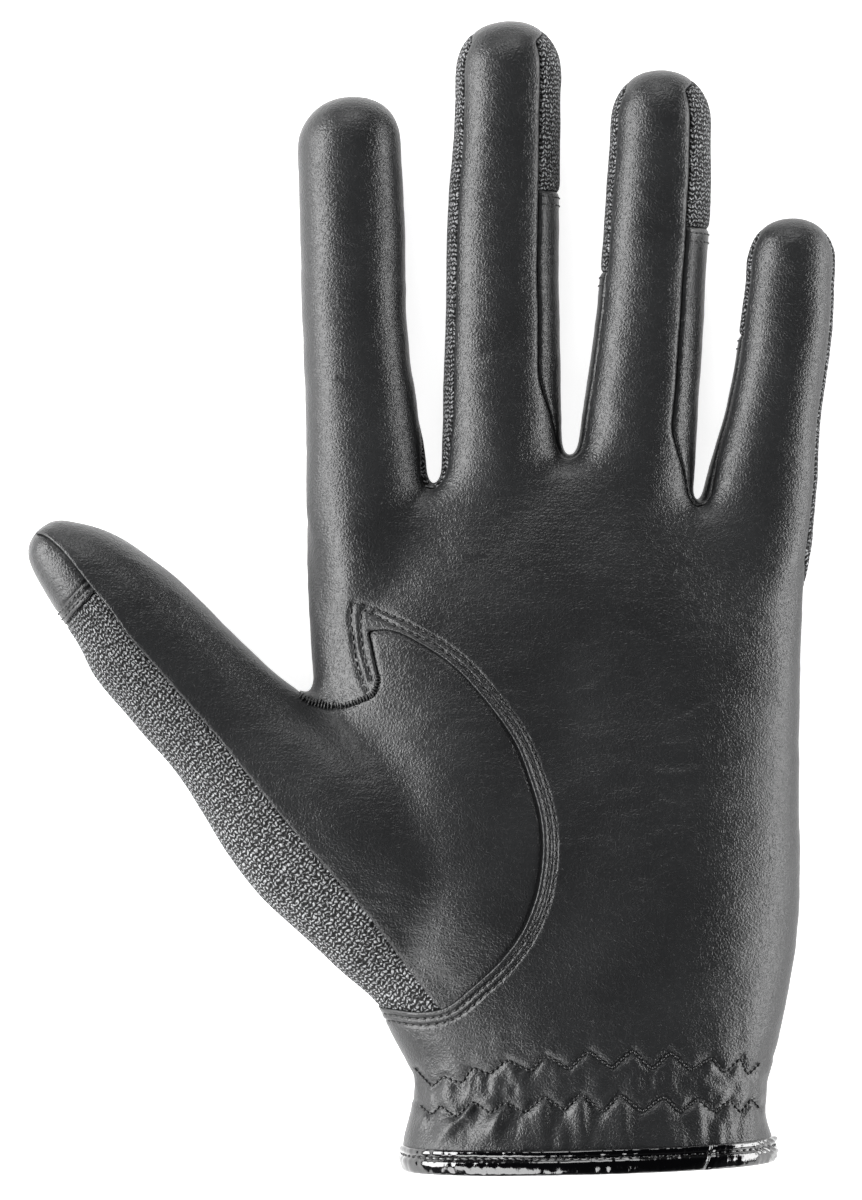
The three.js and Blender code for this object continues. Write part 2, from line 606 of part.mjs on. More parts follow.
const pieces = {
  palm_panel: [hand.intersect(leatherSpace(-kerf)), leatherColour, 0.42],
  back_panel: [hand.subtract(leatherSpace(kerf)), knitColour, 0.8],
  fourchette_index_middle: [shell.intersect(spaces[0].thin), knitColour, 0.8],
  fourchette_middle_ring: [shell.intersect(spaces[1].thin), leatherColour, 0.42],
  fourchette_ring_little: [shell.intersect(spaces[2].thin), leatherColour, 0.42],
  thumb_panel: [thumb.intersect(thumbInner(-kerf)), leatherColour, 0.42],
  thumb_back: [outerThumb.subtract(thumbEnd(kerf)), knitColour, 0.8],
  thumb_cap: [outerThumb.intersect(thumbEnd(-kerf)), leatherColour, 0.42],
  cuff_binding: [bindingSolid(), bindingColour, 0.1],
};

function meshOf(name, [solid, colour, roughness]) {
  const { numProp, vertProperties, triVerts } = solid.getMesh();
  const geometry = new THREE.BufferGeometry();
  geometry.setAttribute('position', new THREE.BufferAttribute(vertProperties, numProp));
  geometry.setIndex(new THREE.BufferAttribute(triVerts, 1));
  const material = new THREE.MeshStandardMaterial({ color: colour, roughness, metalness: 0 });
  const mesh = new THREE.Mesh(geometry, material);
  mesh.name = name;
  return mesh;
}

const group = new THREE.Group();
for (const [name, piece] of Object.entries(pieces)) {
  group.add(meshOf(name, [largest(piece[0]), piece[1], piece[2]]));
}

// The origin is under the middle of the glove, on the table.
const box = new THREE.Box3().setFromObject(group);
const middle = box.getCenter(new THREE.Vector3());
for (const mesh of group.children) mesh.geometry.translate(-middle.x, -middle.y, -box.min.z);
export default group;
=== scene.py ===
import bpy
import math
import numpy as np
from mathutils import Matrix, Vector
from mathutils.bvhtree import BVHTree


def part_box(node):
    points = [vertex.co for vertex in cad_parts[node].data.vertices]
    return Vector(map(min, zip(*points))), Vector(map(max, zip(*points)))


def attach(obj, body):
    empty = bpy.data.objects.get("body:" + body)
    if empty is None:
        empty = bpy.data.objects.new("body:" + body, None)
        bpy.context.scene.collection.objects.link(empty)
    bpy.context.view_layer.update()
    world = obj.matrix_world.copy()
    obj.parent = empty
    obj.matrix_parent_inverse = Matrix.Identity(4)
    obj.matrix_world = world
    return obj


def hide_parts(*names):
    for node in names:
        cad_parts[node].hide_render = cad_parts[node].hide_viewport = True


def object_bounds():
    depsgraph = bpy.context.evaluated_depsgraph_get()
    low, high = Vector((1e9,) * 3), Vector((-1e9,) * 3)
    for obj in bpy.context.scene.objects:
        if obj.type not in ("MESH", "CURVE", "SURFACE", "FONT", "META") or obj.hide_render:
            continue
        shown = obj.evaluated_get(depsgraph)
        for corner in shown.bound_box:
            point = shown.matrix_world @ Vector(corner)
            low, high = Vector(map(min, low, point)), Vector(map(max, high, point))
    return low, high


mm = 0.001
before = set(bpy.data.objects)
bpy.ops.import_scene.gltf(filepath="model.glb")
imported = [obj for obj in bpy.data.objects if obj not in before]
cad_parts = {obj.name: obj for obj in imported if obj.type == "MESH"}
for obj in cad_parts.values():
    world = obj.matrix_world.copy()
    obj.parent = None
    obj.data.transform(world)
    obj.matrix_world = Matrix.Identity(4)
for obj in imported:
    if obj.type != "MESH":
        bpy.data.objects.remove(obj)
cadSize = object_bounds()

# the hand's shape, in millimetres: x from the wrist's middle, y from the hem, z from the table
hand = {
    "palmWidth": 92.0,
    "palmLength": 134.4,
    "palmDepth": 28.0,
    "roundness": 2.15,      # 2 is an oval section, more is squarer
    "sole": 0.8,            # flattening of the back on the table
    "hemTilt": 0.9,
    "webCurve": 0.0118,
    "webPeak": -7.0,
    "webDrop": 12.0,
    "webRound": 3.0,
    "voxel": 0.62,          # size of the skin's faces
    "wall": 1.05,           # leather and knit
    "mostTriangles": 185000,    # of one panel; past that its inner wall is thinned out
    "palmEnd": 0.978,       # share of the palm where its finger end starts to close
    "fingerLine": 118.0,    # above it the skin belongs to the fingers
    "crotchFront": 0.5,     # height of the front and back seams at a crotch, as shares of the depth
    "crotchBack": 0.17,
    "crotchEase": 16.0,     # over which a seam comes down to the crotch
}
lowCorner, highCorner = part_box("cuff_binding")
middleX, tipY = 500 * (lowCorner.x + highCorner.x), 1000 * np.array(cadSize).max(0)[1]
shift = np.array([-0.138 - middleX, 215.8 - tipY, 0])       # from the hand's frame to the shared one

# along, left, right, crest, waist
palmSections = np.array([
    (-0.06, -0.377, 0.374, 1.12, 0.47), (0.0514, -0.377, 0.374, 1.12, 0.47),
    (0.074, -0.369, 0.365, 1.1, 0.47), (0.102, -0.359, 0.361, 1.08, 0.47),
    (0.132, -0.355, 0.363, 1.06, 0.47), (0.163, -0.367, 0.375, 1.05, 0.47),
    (0.194, -0.393, 0.387, 1.05, 0.46), (0.232, -0.421, 0.399, 1.04, 0.45),
    (0.286, -0.454, 0.412, 1.03, 0.44), (0.347, -0.485, 0.424, 1.03, 0.43),
    (0.44, -0.51, 0.432, 1.0, 0.43), (0.562, -0.542, 0.43, 0.96, 0.43),
    (0.676, -0.5625, 0.434, 0.91, 0.43), (0.777, -0.569, 0.438, 0.85, 0.43),
    (0.869, -0.571, 0.442, 0.77, 0.44), (0.935, -0.573, 0.455, 0.69, 0.46),
    (0.978, -0.573, 0.462, 0.64, 0.48),
])
# x, y, reachX, reachY, rise: ball of the thumb, heel of the hand, hollow of the palm
palmRelief = [(-0.33, 0.5, 0.2, 0.17, 0.1), (0.26, 0.42, 0.16, 0.26, 0.05), (-0.02, 0.62, 0.2, 0.2, -0.06)]
# front and back are the angles of the seams on the right and the left side, and wallTo is how far up
# the finger a side wall runs
fingers = [
    {"name": "index", "rootY": 126, "tipY": 201.9, "tipX": -0.477, "width": 20, "depth": 17.4, "curl": 3,
     "tipDrop": 0.5, "front": (-4, 214), "back": (-38, 214), "wallTo": (0.84, 0),
     "rows": [(0, -0.449, 1.16), (0.104, -0.4524, 1.125), (0.222, -0.4626, 1.07), (0.4, -0.474, 1.005),
              (0.638, -0.481, 0.99), (0.865, -0.485, 0.97)]},
    {"name": "middle", "rootY": 126, "tipY": 215.8, "tipX": -0.166, "width": 21, "depth": 18, "curl": 4,
     "tipDrop": 0.1, "front": (53, 148), "back": (-38, 218), "wallTo": (0.645, 0.84),
     "rows": [(0, -0.175, 1.114), (0.12, -0.1742, 1.08), (0.296, -0.1742, 1.062), (0.446, -0.1742, 1.027),
              (0.596, -0.17, 0.99), (0.87, -0.164, 0.957)]},
    {"name": "ring", "rootY": 126, "tipY": 206.5, "tipX": 0.148, "width": 20, "depth": 17.6, "curl": 5,
     "tipDrop": 0.1, "front": (57, 154), "back": (-38, 218), "wallTo": (0.634, 0.535),
     "rows": [(0, 0.089, 1.14), (0.128, 0.0988, 1.115), (0.296, 0.1141, 1.07), (0.436, 0.1253, 1.02),
              (0.6, 0.1355, 0.985), (0.865, 0.1467, 0.965)]},
    {"name": "little", "rootY": 120, "tipY": 178.9, "tipX": 0.416, "width": 18, "depth": 15.6, "curl": 6,
     "tipDrop": 0.1, "front": (20, 162), "back": (20, 218), "wallTo": (0, 0.633),
     "rows": [(0, 0.337, 1.25), (0.156, 0.3526, 1.167), (0.27, 0.3648, 1.083), (0.46, 0.3872, 1.0),
              (0.65, 0.4046, 0.969), (0.85, 0.4127, 0.925)]},
]
sideSeam = np.array([(0, 0.14, 0.14), (0.64, 0.14, 0.14), (0.77, 0.14, 0.3), (0.88, 0.13, 0.41)])
thumb = {
    "tip": (-104.8, 120.7),
    "angle": -44,           # degrees, of its way from the tip to the palm
    "length": 113.0,
    "width": 26.0,
    "depth": 22.0,
    "cap": 17.5,            # length of the leather over its tip
    "backSeam": 0.7,
}
thumbTip = np.array(thumb["tip"])
# along, half, shift, rise, drop, mid, seam
thumbSections = np.array([
    (0.016, 0.135, 0.02, 0.15, 0.15, 0.74, 0.3), (0.05, 0.25, 0.05, 0.27, 0.27, 0.73, 0.15),
    (0.094, 0.33, 0.085, 0.36, 0.36, 0.71, -0.05), (0.18, 0.408, 0.077, 0.43, 0.43, 0.67, -0.14),
    (0.258, 0.471, 0.033, 0.47, 0.47, 0.63, -0.14), (0.355, 0.487, 0.01, 0.5, 0.5, 0.59, -0.16),
    (0.45, 0.51, -0.006, 0.53, 0.53, 0.57, -0.18), (0.537, 0.575, -0.017, 0.58, 0.56, 0.56, -0.22),
    (0.62, 0.68, 0.0, 0.64, 0.57, 0.56, -0.27), (0.715, 0.76, 0.03, 0.7, 0.58, 0.56, -0.33),
    (0.84, 0.78, 0.06, 0.7, 0.58, 0.56, -0.42), (0.95, 0.72, 0.03, 0.58, 0.56, 0.56, -0.52),
])
thumbWeb = [(-0.9, 1.1), (-0.61, 0.71), (-0.583, 0.668), (-0.544, 0.656)]
thumbFace = [
    (-0.493, 0.655), (-0.457, 0.664), (-0.438, 0.671), (-0.427, 0.69), (-0.436, 0.723), (-0.4465, 0.758),
    (-0.391, 0.757), (-0.318, 0.731), (-0.267, 0.705), (-0.222, 0.672), (-0.176, 0.632), (-0.146, 0.598),
    (-0.122, 0.555), (-0.102, 0.507), (-0.096, 0.462), (-0.102, 0.419), (-0.114, 0.385), (-0.14, 0.344),
    (-0.183, 0.305), (-0.236, 0.271), (-0.286, 0.243), (-0.34, 0.234),
]
palmScale = (hand["palmWidth"], hand["palmLength"])
thumbHeel = [(-0.395, 0.236), (-0.7, 0.236), (-2, 0.3), (-2, 1.1)]
thumbBackLine = [(-0.52, 0.63), (-0.47, 0.55), (-0.435, 0.46), (-0.41, 0.37), (-0.395, 0.3)]


def smoothLine(points, steps=6):     # a smooth line through points
    p = np.array([points[0], *points, points[-1]], float)
    t = np.arange(steps)[:, None] / steps
    parts = []
    for a, b, c, d in zip(p[:-3], p[1:-2], p[2:-1], p[3:]):
        parts.append(b + 0.5 * t * (c - a + t * (2 * a - 5 * b + 4 * c - d + t * (3 * (b - c) + d - a))))
    return np.vstack(parts + [p[-1:]])


webLine = smoothLine(thumbWeb[:1] + thumbWeb[1:] + thumbFace[:6])
thumbEdge = np.vstack([webLine, smoothLine(thumbFace[5:] + thumbHeel[:1])[1:]])


def smoothstep(x, low, high):
    t = np.clip((np.asarray(x, float) - low) / (high - low), 0, 1)
    return t * t * (3 - 2 * t)


def lerp(a, b, t):
    return a + (b - a) * t


def bell(t):
    return np.exp(-np.square(t))


def curveAt(knots, values, at):     # a smooth curve through a table that never overshoots it
    knots, values, at = np.asarray(knots, float), np.asarray(values, float), np.asarray(at, float)
    step = np.diff(knots)
    slope = np.diff(values) / step
    bend = np.zeros(len(knots))
    same = slope[:-1] * slope[1:] > 0
    w1, w2 = 2 * step[1:] + step[:-1], step[1:] + 2 * step[:-1]
    safe = np.where(same, slope[:-1], 1), np.where(same, slope[1:], 1)
    bend[1:-1] = np.where(same, (w1 + w2) / (w1 / safe[0] + w2 / safe[1]), 0)
    bend[0], bend[-1] = slope[0], slope[-1]
    i = np.clip(np.searchsorted(knots, at) - 1, 0, len(step) - 1)
    t = np.clip((at - knots[i]) / step[i], 0, 1)
    a, b = values[i], values[i + 1]
    h = step[i]
    return ((1 + 2 * t) * (1 - t) ** 2 * a + t * (1 - t) ** 2 * h * bend[i]
            + t * t * (3 - 2 * t) * b + t * t * (t - 1) * h * bend[i + 1])


def noise(points, scale, seed=0):     # smooth, from -1 to 1, with a scale in millimetres for each axis
    p = np.asarray(points, float) / np.asarray(scale, float) + seed * 17.31
    base = np.floor(p).astype(np.int64)
    part = p - base
    part = part * part * part * (part * (part * 6 - 15) + 10)
    total = np.zeros(len(p))
    for corner in range(8):
        bits = np.array([(corner >> k) & 1 for k in range(3)])
        cell = base + bits
        key = cell[:, 0] * 374761393 + cell[:, 1] * 668265263 + cell[:, 2] * 2147483647
        key = (key + seed * 974711) & 0xFFFFFFFF
        key = ((key ^ (key >> 13)) * 1274126177) & 0xFFFFFFFF
        value = ((key ^ (key >> 16)) & 0xFFFF) / 32767.5 - 1
        weight = np.prod(np.where(bits == 1, part, 1 - part), axis=1)
        total += value * weight
    return total


def oval(turn, half, rise, drop):
    power = 2 / hand["roundness"]
    c, s = np.cos(turn), np.sin(turn)
    return half * np.sign(c) * np.abs(c) ** power, np.where(s >= 0, rise, -drop) * np.abs(s) ** power


def webFall(x):
    return np.minimum(hand["webCurve"] * (x - hand["webPeak"]) ** 2, hand["webDrop"])


def readTable(table, along):     # every column of a table, at a place along its first
    return [curveAt(table[:, 0], table[:, k], along) for k in range(1, table.shape[1])]


def palmRing(along, openness=1.0, sides=260):
    turn = np.linspace(0, 2 * np.pi, sides, endpoint=False)
    left, right, crestShare, waistShare = readTable(palmSections, min(along, hand["palmEnd"]))
    left, right = left * hand["palmWidth"], right * hand["palmWidth"]
    crest = crestShare * hand["palmDepth"]
    waist = waistShare * crest
    x, z = oval(turn, (right - left) / 2, crest - waist, waist + hand["sole"])
    x = x + (left + right) / 2
    z = np.maximum(z + waist, 0)
    up = np.maximum(np.sin(turn), 0)
    for rx, ry, reachX, reachY, rise in palmRelief:
        z += (rise * hand["palmDepth"] * bell((x / hand["palmWidth"] - rx) / reachX)
              * bell((along - ry) / reachY) * up)
    z = lerp(waist, z, openness)
    bend = smoothstep(along, 0.68, 0.975)
    hem = 1 - smoothstep(along, 0.03, 0.3)
    tilt = hand["hemTilt"] * hem * x / (hand["palmWidth"] * 0.37)
    y = along * hand["palmLength"] + tilt - webFall(x) * bend
    return np.stack([x, y, z], 1)


def fingerAt(f, along):     # centre x, y, z, half width and half depth of a finger at shares of its length
    along = np.asarray(along, float)
    t = np.maximum(along, 0)
    rows = np.array(f["rows"] + [(1.0, f["tipX"], f["rows"][-1][2])])
    depth = f["depth"] * lerp(1.08, 1, np.minimum(t * 2.5, 1)) / 2
    x = curveAt(rows[:, 0], rows[:, 1], np.maximum(along, 0)) * hand["palmWidth"]
    y = lerp(f["rootY"], f["tipY"], along)
    half = curveAt(rows[:, 0], rows[:, 2], t) * f["width"] / 2 * lerp(1, 0.7, smoothstep(-along, 0, 0.25))
    return x, y, depth + f["curl"] * t * t, half, depth


def shareUp(f, y):     # how far up a finger y lies
    return (y - f["rootY"]) / (f["tipY"] - f["rootY"])


def gapMiddle(k, y):     # x of the middle between finger k and the next
    a = fingerAt(fingers[k], shareUp(fingers[k], y))
    b = fingerAt(fingers[k + 1], shareUp(fingers[k + 1], y))
    return (a[0] + a[3] + b[0] - b[3]) / 2


def crotchY(k):
    return float(hand["palmLength"] - webFall(gapMiddle(k, hand["palmLength"])))


def loft(rings, ends):     # a closed mesh over rings of points, closed on an end point at both ends
    sides = len(rings[0])
    points = np.vstack([*rings, *[np.atleast_2d(e) for e in ends]])
    faces = []
    for r in range(len(rings) - 1):
        for i in range(sides):
            j = (i + 1) % sides
            faces.append((r * sides + i, r * sides + j, (r + 1) * sides + j, (r + 1) * sides + i))
    last, tip = (len(rings) - 1) * sides, len(rings) * sides
    faces += [(tip, (i + 1) % sides, i) for i in range(sides)]
    faces += [(tip + 1, last + i, last + (i + 1) % sides) for i in range(sides)]
    return points, faces


def fingerLoft(f):
    length = f["tipY"] - f["rootY"]
    foot = 1 - 0.5 * f["width"] / length
    rows = [(a, 1.0) for a in np.linspace(-20 / length, foot, 60)]
    for turn in np.radians(np.linspace(4, 88, 22)):
        ox, oy = oval(turn, 1, 1, 1)
        rows.append((foot + (1 - foot) * float(oy), float(ox)))
    turns = np.linspace(0, 2 * np.pi, 96, endpoint=False)
    rings = []
    for along, share in rows:
        x, y, z, half, depth = fingerAt(f, along)
        ox, oz = oval(turns, half * share, depth * share, (depth + hand["sole"] * 0.5) * share)
        rings.append(np.stack([x + ox, np.full(96, y), np.maximum(z + oz, 0)], 1))
    x, y, z, half, depth = fingerAt(f, 1.0)
    return loft(rings, [rings[0].mean(0), (x, y, z)])


turn = math.radians(thumb["angle"])
thumbAhead = np.array([math.cos(turn), math.sin(turn)])
thumbOver = np.array([-math.sin(turn), math.cos(turn)])


def thumbAt(along):     # centre and height of the thumb's section, half width, rise, drop and front seam
    half, over, rise, drop, mid, seam = readTable(thumbSections, along)
    centre = (thumbTip[:, None] + thumbAhead[:, None] * (along * thumb["length"])
              + thumbOver[:, None] * (over * thumb["width"]))
    mid, rise, drop = mid * thumb["depth"], rise * thumb["depth"], drop * thumb["depth"]
    return centre, mid, half * thumb["width"], rise, drop, seam


def thumbLoft():
    turns = np.linspace(0, 2 * np.pi, 120, endpoint=False)
    start = 0.05 * (1 - np.cos(np.linspace(0.5, np.pi / 2, 10)))
    alongs = np.concatenate([start, np.linspace(0.055, 0.95, 90)])
    rings = []
    for along in alongs:
        centre, mid, half, rise, drop, seam = thumbAt(np.array([along]))
        if along < 0.05:    # a round end instead of the table's facets
            share = math.sqrt(max(1 - (1 - along / 0.05) ** 2, 0))
            centre, mid, half, rise, drop, seam = thumbAt(np.array([0.05]))
            centre = centre + thumbAhead[:, None] * (along - 0.05) * thumb["length"]
            half, rise, drop = half * share, rise * share, drop * share
        ox, oz = oval(turns, half[0], rise[0], drop[0])
        xy = centre[:, 0] + ox[:, None] * thumbOver
        rings.append(np.column_stack([xy, np.maximum(mid[0] + oz, 0)]))
    tip = np.array([*thumbTip, rings[0][:, 2].mean()])
    return loft(rings, [tip, rings[-1].mean(0)])


def wholeHand():     # one closed skin over the palm and the five digits
    closing = np.array([0.3, 0.55, 0.75, 0.88, 0.96, 1]) * hand["webRound"] / hand["palmLength"]
    alongs = np.concatenate([np.linspace(-0.05, hand["palmEnd"], 150), hand["palmEnd"] + closing])
    openness = [1.0] * 150 + [0.96, 0.84, 0.66, 0.5, 0.3, 0.06]
    rings = [palmRing(a, o) for a, o in zip(alongs, openness)]
    lofts = [loft(rings, [rings[0].mean(0), rings[-1].mean(0)]), thumbLoft()]
    lofts += [fingerLoft(f) for f in fingers]
    points, faces, count = [], [], 0
    for p, f in lofts:
        points.append(p)
        faces += [tuple(i + count for i in face) for face in f]
        count += len(p)
    mesh = bpy.data.meshes.new("handForm")
    mesh.from_pydata(np.vstack(points).tolist(), [], faces)
    mesh.update()
    form = bpy.data.objects.new("handForm", mesh)
    bpy.context.scene.collection.objects.link(form)
    remesh = form.modifiers.new("oneSkin", "REMESH")
    remesh.mode = "VOXEL"
    remesh.voxel_size = hand["voxel"] * 1
    done = form.evaluated_get(bpy.context.evaluated_depsgraph_get()).to_mesh()
    co = np.zeros(len(done.vertices) * 3)
    done.vertices.foreach_get("co", co)
    done.calc_loop_triangles()
    tri = np.zeros(len(done.loop_triangles) * 3, int)
    done.loop_triangles.foreach_get("vertices", tri)
    bpy.data.objects.remove(form)
    return co.reshape(-1, 3), tri.reshape(-1, 3)


def normalsOf(points, tris):
    a, b, c = points[tris[:, 0]], points[tris[:, 1]], points[tris[:, 2]]
    face = np.cross(b - a, c - a)
    total = np.zeros_like(points)
    for k in range(3):
        for axis in range(3):
            total[:, axis] += np.bincount(tris[:, k], face[:, axis], len(points))
    return total / np.maximum(np.linalg.norm(total, axis=1, keepdims=True), 1e-9)


def relax(points, tris, rounds, fillets):     # evens the skin out, then fills only its inward corners
    edges = np.vstack([tris[:, [0, 1]], tris[:, [1, 2]], tris[:, [2, 0]]])
    count = np.bincount(edges[:, 0], minlength=len(points))
    for step in range(rounds + fillets):
        mean = np.stack([np.bincount(edges[:, 0], points[edges[:, 1], k], len(points)) for k in range(3)], 1)
        move = 0.5 * (mean / count[:, None] - points)
        flat = points[:, 2] < 0.05
        if step >= rounds:
            if (step - rounds) % 10 == 0:
                normal = normalsOf(points, tris)
            out = np.sum(move * normal, 1)
            between = smoothstep(points[:, 1], 112, 122)
            keep = np.where(step - rounds < 12, 1.0, 1 - between)
            move = normal * (np.maximum(out, 0) * keep)[:, None]
        move[flat] = 0
        points = points + move
    return points


print("stage: one skin over palm, fingers and thumb")
points, tris = wholeHand()
points = relax(points, tris, 7, 70)
print(f"skin: {len(points)} points, {len(tris)} triangles")

# cuff: two zigzag rows of elastic thread, and the leather that they gather
cuff = {
    "pleat": 0.95,          # height of the pleats below the lower row
    "pucker": 0.34,         # crumpled leather between the rows
    "above": 0.16,          # and above them
    "pinch": 0.42,          # how far the thread pulls the leather in
    "pinchReach": 0.7,
}
upperRow = np.array([
    (-32.5, 20.5), (-29.3, 17.4), (-27.2, 19.5), (-23.9, 18.3), (-21.9, 21.4), (-18.8, 20.2),
    (-15.6, 23.0), (-11.2, 20.9), (-8.5, 24.0), (-4.1, 21.3), (-0.6, 24.8), (3.8, 21.5), (7.5, 25.0),
    (11.2, 21.3), (14.7, 24.5), (18.4, 21.0), (22.3, 23.4), (24.8, 20.2), (27.8, 23.0), (29.2, 19.6),
    (32.3, 22.3),
])
lowerRow = np.array([
    (-31.5, 13.7), (-29.3, 12.2), (-27.8, 14.1), (-24.8, 12.1), (-21.9, 15.3), (-18.6, 13.1),
    (-15.8, 15.3), (-12.5, 13.2), (-8.7, 16.4), (-5.0, 13.9), (-1.9, 17.0), (2.1, 13.5), (5.3, 16.9),
    (9.3, 13.6), (13.4, 16.5), (16.3, 13.5), (19.7, 15.8), (22.9, 13.1), (25.7, 15.4), (27.8, 12.8),
    (30.0, 15.2), (31.6, 13.2),
])


def lineDistance(p, line):
    best = np.full(len(p), 1e9)
    for a, b in zip(line[:-1], line[1:]):
        d = b - a
        t = np.clip(((p - a) @ d) / (d @ d), 0, 1)
        best = np.minimum(best, np.hypot(*(p - a - t[:, None] * d).T))
    return best


def cuffRelief(p):
    x, y, z = p.T
    face = smoothstep(z, 7, 15)
    low = np.interp(x, lowerRow[:, 0], lowerRow[:, 1])
    high = np.interp(x, upperRow[:, 0], upperRow[:, 1])
    slant = lerp(0.8, -0.08, smoothstep(x, -29, -3))    # the pleats on the thumb's side lean outwards
    across = x + slant * np.maximum(15 - y, 0)
    teeth = lowerRow[::2, 0]
    phase = np.interp(across, teeth, np.arange(len(teeth)))
    s = phase - np.round(phase)
    tooth = np.where(s < 0, bell(s / 0.33), bell(s / 0.15))
    size = 0.75 + 0.45 * noise(np.column_stack([np.round(phase), 0 * x, 0 * x]), (0.77, 1, 1), 3)
    size = size * lerp(1.15, 0.65, smoothstep(x, -12, 18))
    below = smoothstep(low - y, -0.2, 1.1) * lerp(0.12, 1, smoothstep(y, 6.5, 12.5))
    inRow = smoothstep(x, -33, -30) * (1 - smoothstep(x, 30.5, 33))
    height = cuff["pleat"] * (tooth - 0.3) * below * size * inRow
    height += 0.22 * noise(p, (1.7, 5, 9), 4) * smoothstep(low - y, 0, 1) * smoothstep(y, 5, 8)
    between = smoothstep(y - low, -0.1, 0.9) * smoothstep(high - y, -0.1, 0.9)
    crumple = noise(p, (2.3, 3.4, 9), 5) + 0.55 * noise(p, (1.2, 1.9, 9), 6)
    height += cuff["pucker"] * crumple * between * lerp(1, 0.6, bell(x / 15))
    over = smoothstep(y - high, 0, 0.8) * (1 - smoothstep(y - high, 1, 9))
    height += cuff["above"] * (noise(p, (2.8, 6, 9), 7) + 0.4 * noise(p, (1.4, 3, 9), 8)) * over
    flat = p[:, :2]
    for row in (upperRow, lowerRow):
        height -= cuff["pinch"] * bell(lineDistance(flat, row) / cuff["pinchReach"])
    return height * face


# slack: the broad unevenness of soft leather over an empty hand
slack = {"broad": 0.3, "middle": 0.1, "creases": 0.13, "knuckleFold": 0.16}


def slackRelief(p):
    x, y, z = p.T
    lying = smoothstep(z, 1.5, 6)
    height = slack["broad"] * noise(p, (17, 17, 17), 11) + slack["middle"] * noise(p, (6, 5, 8), 12)
    palm = bell((x - 8) / 26) * bell((y - 84) / 26)
    wave = noise(p + 3 * noise(p, (9, 9, 9), 14)[:, None], (7.5, 1.9, 9), 13)
    height += slack["creases"] * wave * (0.25 + palm)
    for k, f in enumerate(fingers):     # the folds where a finger bends
        cx = fingerAt(f, 0.35)[0]
        for share, deep in ((0.3, 1.0), (0.62, 0.6)):
            fold = f["rootY"] + share * (f["tipY"] - f["rootY"])
            bend = 1.1 * np.sin(x * 0.35 + k)
            line = bell((y - fold - bend) / 1.3) + 0.6 * bell((y - fold - bend - 3.1) / 1.1)
            height -= slack["knuckleFold"] * deep * line * bell((x - cx) / 8) * smoothstep(z, 11, 17)
    return height * lying


def softenCrotches(p, tris, rounds=26):     # the web between two fingers has no ridge
    edges = np.vstack([tris[:, [0, 1]], tris[:, [1, 2]], tris[:, [2, 0]]])
    count = np.bincount(edges[:, 0], minlength=len(p))
    weight = np.zeros(len(p))
    for k in range(3):
        gx, gy = float(gapMiddle(k, hand["palmLength"])), crotchY(k)
        weight = np.maximum(weight, bell((p[:, 0] - gx) / 6) * bell((p[:, 1] - gy + 1.5) / 6.5))
    weight *= smoothstep(p[:, 2], 0.5, 3)
    roots = bell((p[:, 1] - 120) / 16) * smoothstep(p[:, 2], 11, 17)    # where the palm meets the fingers
    for part, times in ((weight, rounds), (roots, 7 * rounds)):
        for step in range(times):
            mean = np.stack([np.bincount(edges[:, 0], p[edges[:, 1], k], len(p)) for k in range(3)], 1)
            p = p + 0.5 * part[:, None] * (mean / count[:, None] - p)
    return p


# where the seams run: signed distances in millimetres, worked out for every point of the skin
def seamAngle(k, side, turn, height, y):     # of a seam round finger k, which ends in the crotch
    f = fingers[k]
    x, _, z, half, depth = fingerAt(f, shareUp(f, y))
    ox, oz = oval(math.radians(turn), half, depth, depth)
    gap = k if side == 0 else k - 1
    if 0 <= gap <= 2:
        near = 1 - smoothstep(y, crotchY(gap), crotchY(gap) + hand["crotchEase"])
        ox = lerp(ox, gapMiddle(gap, y) - x, near)
        oz = lerp(oz, height * hand["palmDepth"] - z, near)
    angle = np.arctan2(oz, ox)
    return np.where(angle < -np.pi / 2, angle + 2 * np.pi, angle)


def polygonDistance(p, outline):     # signed distance to a closed outline, more than 0 inside
    a = np.asarray(outline) * palmScale
    b = np.roll(a, -1, 0)
    best = np.full(len(p), 1e9)
    inside = np.zeros(len(p), bool)
    for (ax, ay), (bx, by) in zip(a, b):
        dx, dy = bx - ax, by - ay
        t = np.clip(((p[:, 0] - ax) * dx + (p[:, 1] - ay) * dy) / (dx * dx + dy * dy), 0, 1)
        best = np.minimum(best, np.hypot(p[:, 0] - ax - t * dx, p[:, 1] - ay - t * dy))
        if ay != by:
            crosses = ((ay > p[:, 1]) != (by > p[:, 1])) & (p[:, 0] < dx * (p[:, 1] - ay) / dy + ax)
            inside ^= crosses
    return np.where(inside, best, -best)


def fingerOf(p):     # which finger each point is nearest to
    y = np.maximum(p[:, 1], hand["fingerLine"])
    owner = np.zeros(len(p), int)
    for k in range(3):
        owner += p[:, 0] > gapMiddle(k, y)
    return owner


def offsetLine(line, distance):     # the line moved sideways, to its left when distance is more than 0
    ahead = np.gradient(line, axis=0)
    ahead /= np.linalg.norm(ahead, axis=1, keepdims=True)
    return line + distance * np.column_stack([-ahead[:, 1], ahead[:, 0]])


rowGaps = (1.25, 2.5)       # mm from a stitched edge to its two rows of stitches
tabRows = [
    [(-40.4, 92.6), (-41.9, 97.2), (-42.4, 100.2), (-42.6, 103.4), (-42.2, 106.0), (-38.6, 104.2),
     (-35.5, 102.6)],
    [(-40.6, 89.3), (-41.9, 91.9), (-43.0, 94.8), (-43.7, 98.0), (-44.1, 101.9), (-44.5, 104.5),
     (-43.9, 107.3), (-39.6, 105.9), (-35.0, 104.0)],
]
roundBall = np.vstack([smoothLine(thumbFace[7:] + thumbHeel[:1]), [(-0.42, 0.236)]]) * palmScale
stitchRows = []
for gap, tab in zip(rowGaps, tabRows):
    corner = next(i for i in range(len(tab)) if tab[i][1] == max(q[1] for q in tab))
    head = np.vstack([smoothLine(tab[:corner + 1], 5)[:-1], smoothLine(tab[corner:], 5)])
    stitchRows.append(np.vstack([head, offsetLine(roundBall, gap)]))


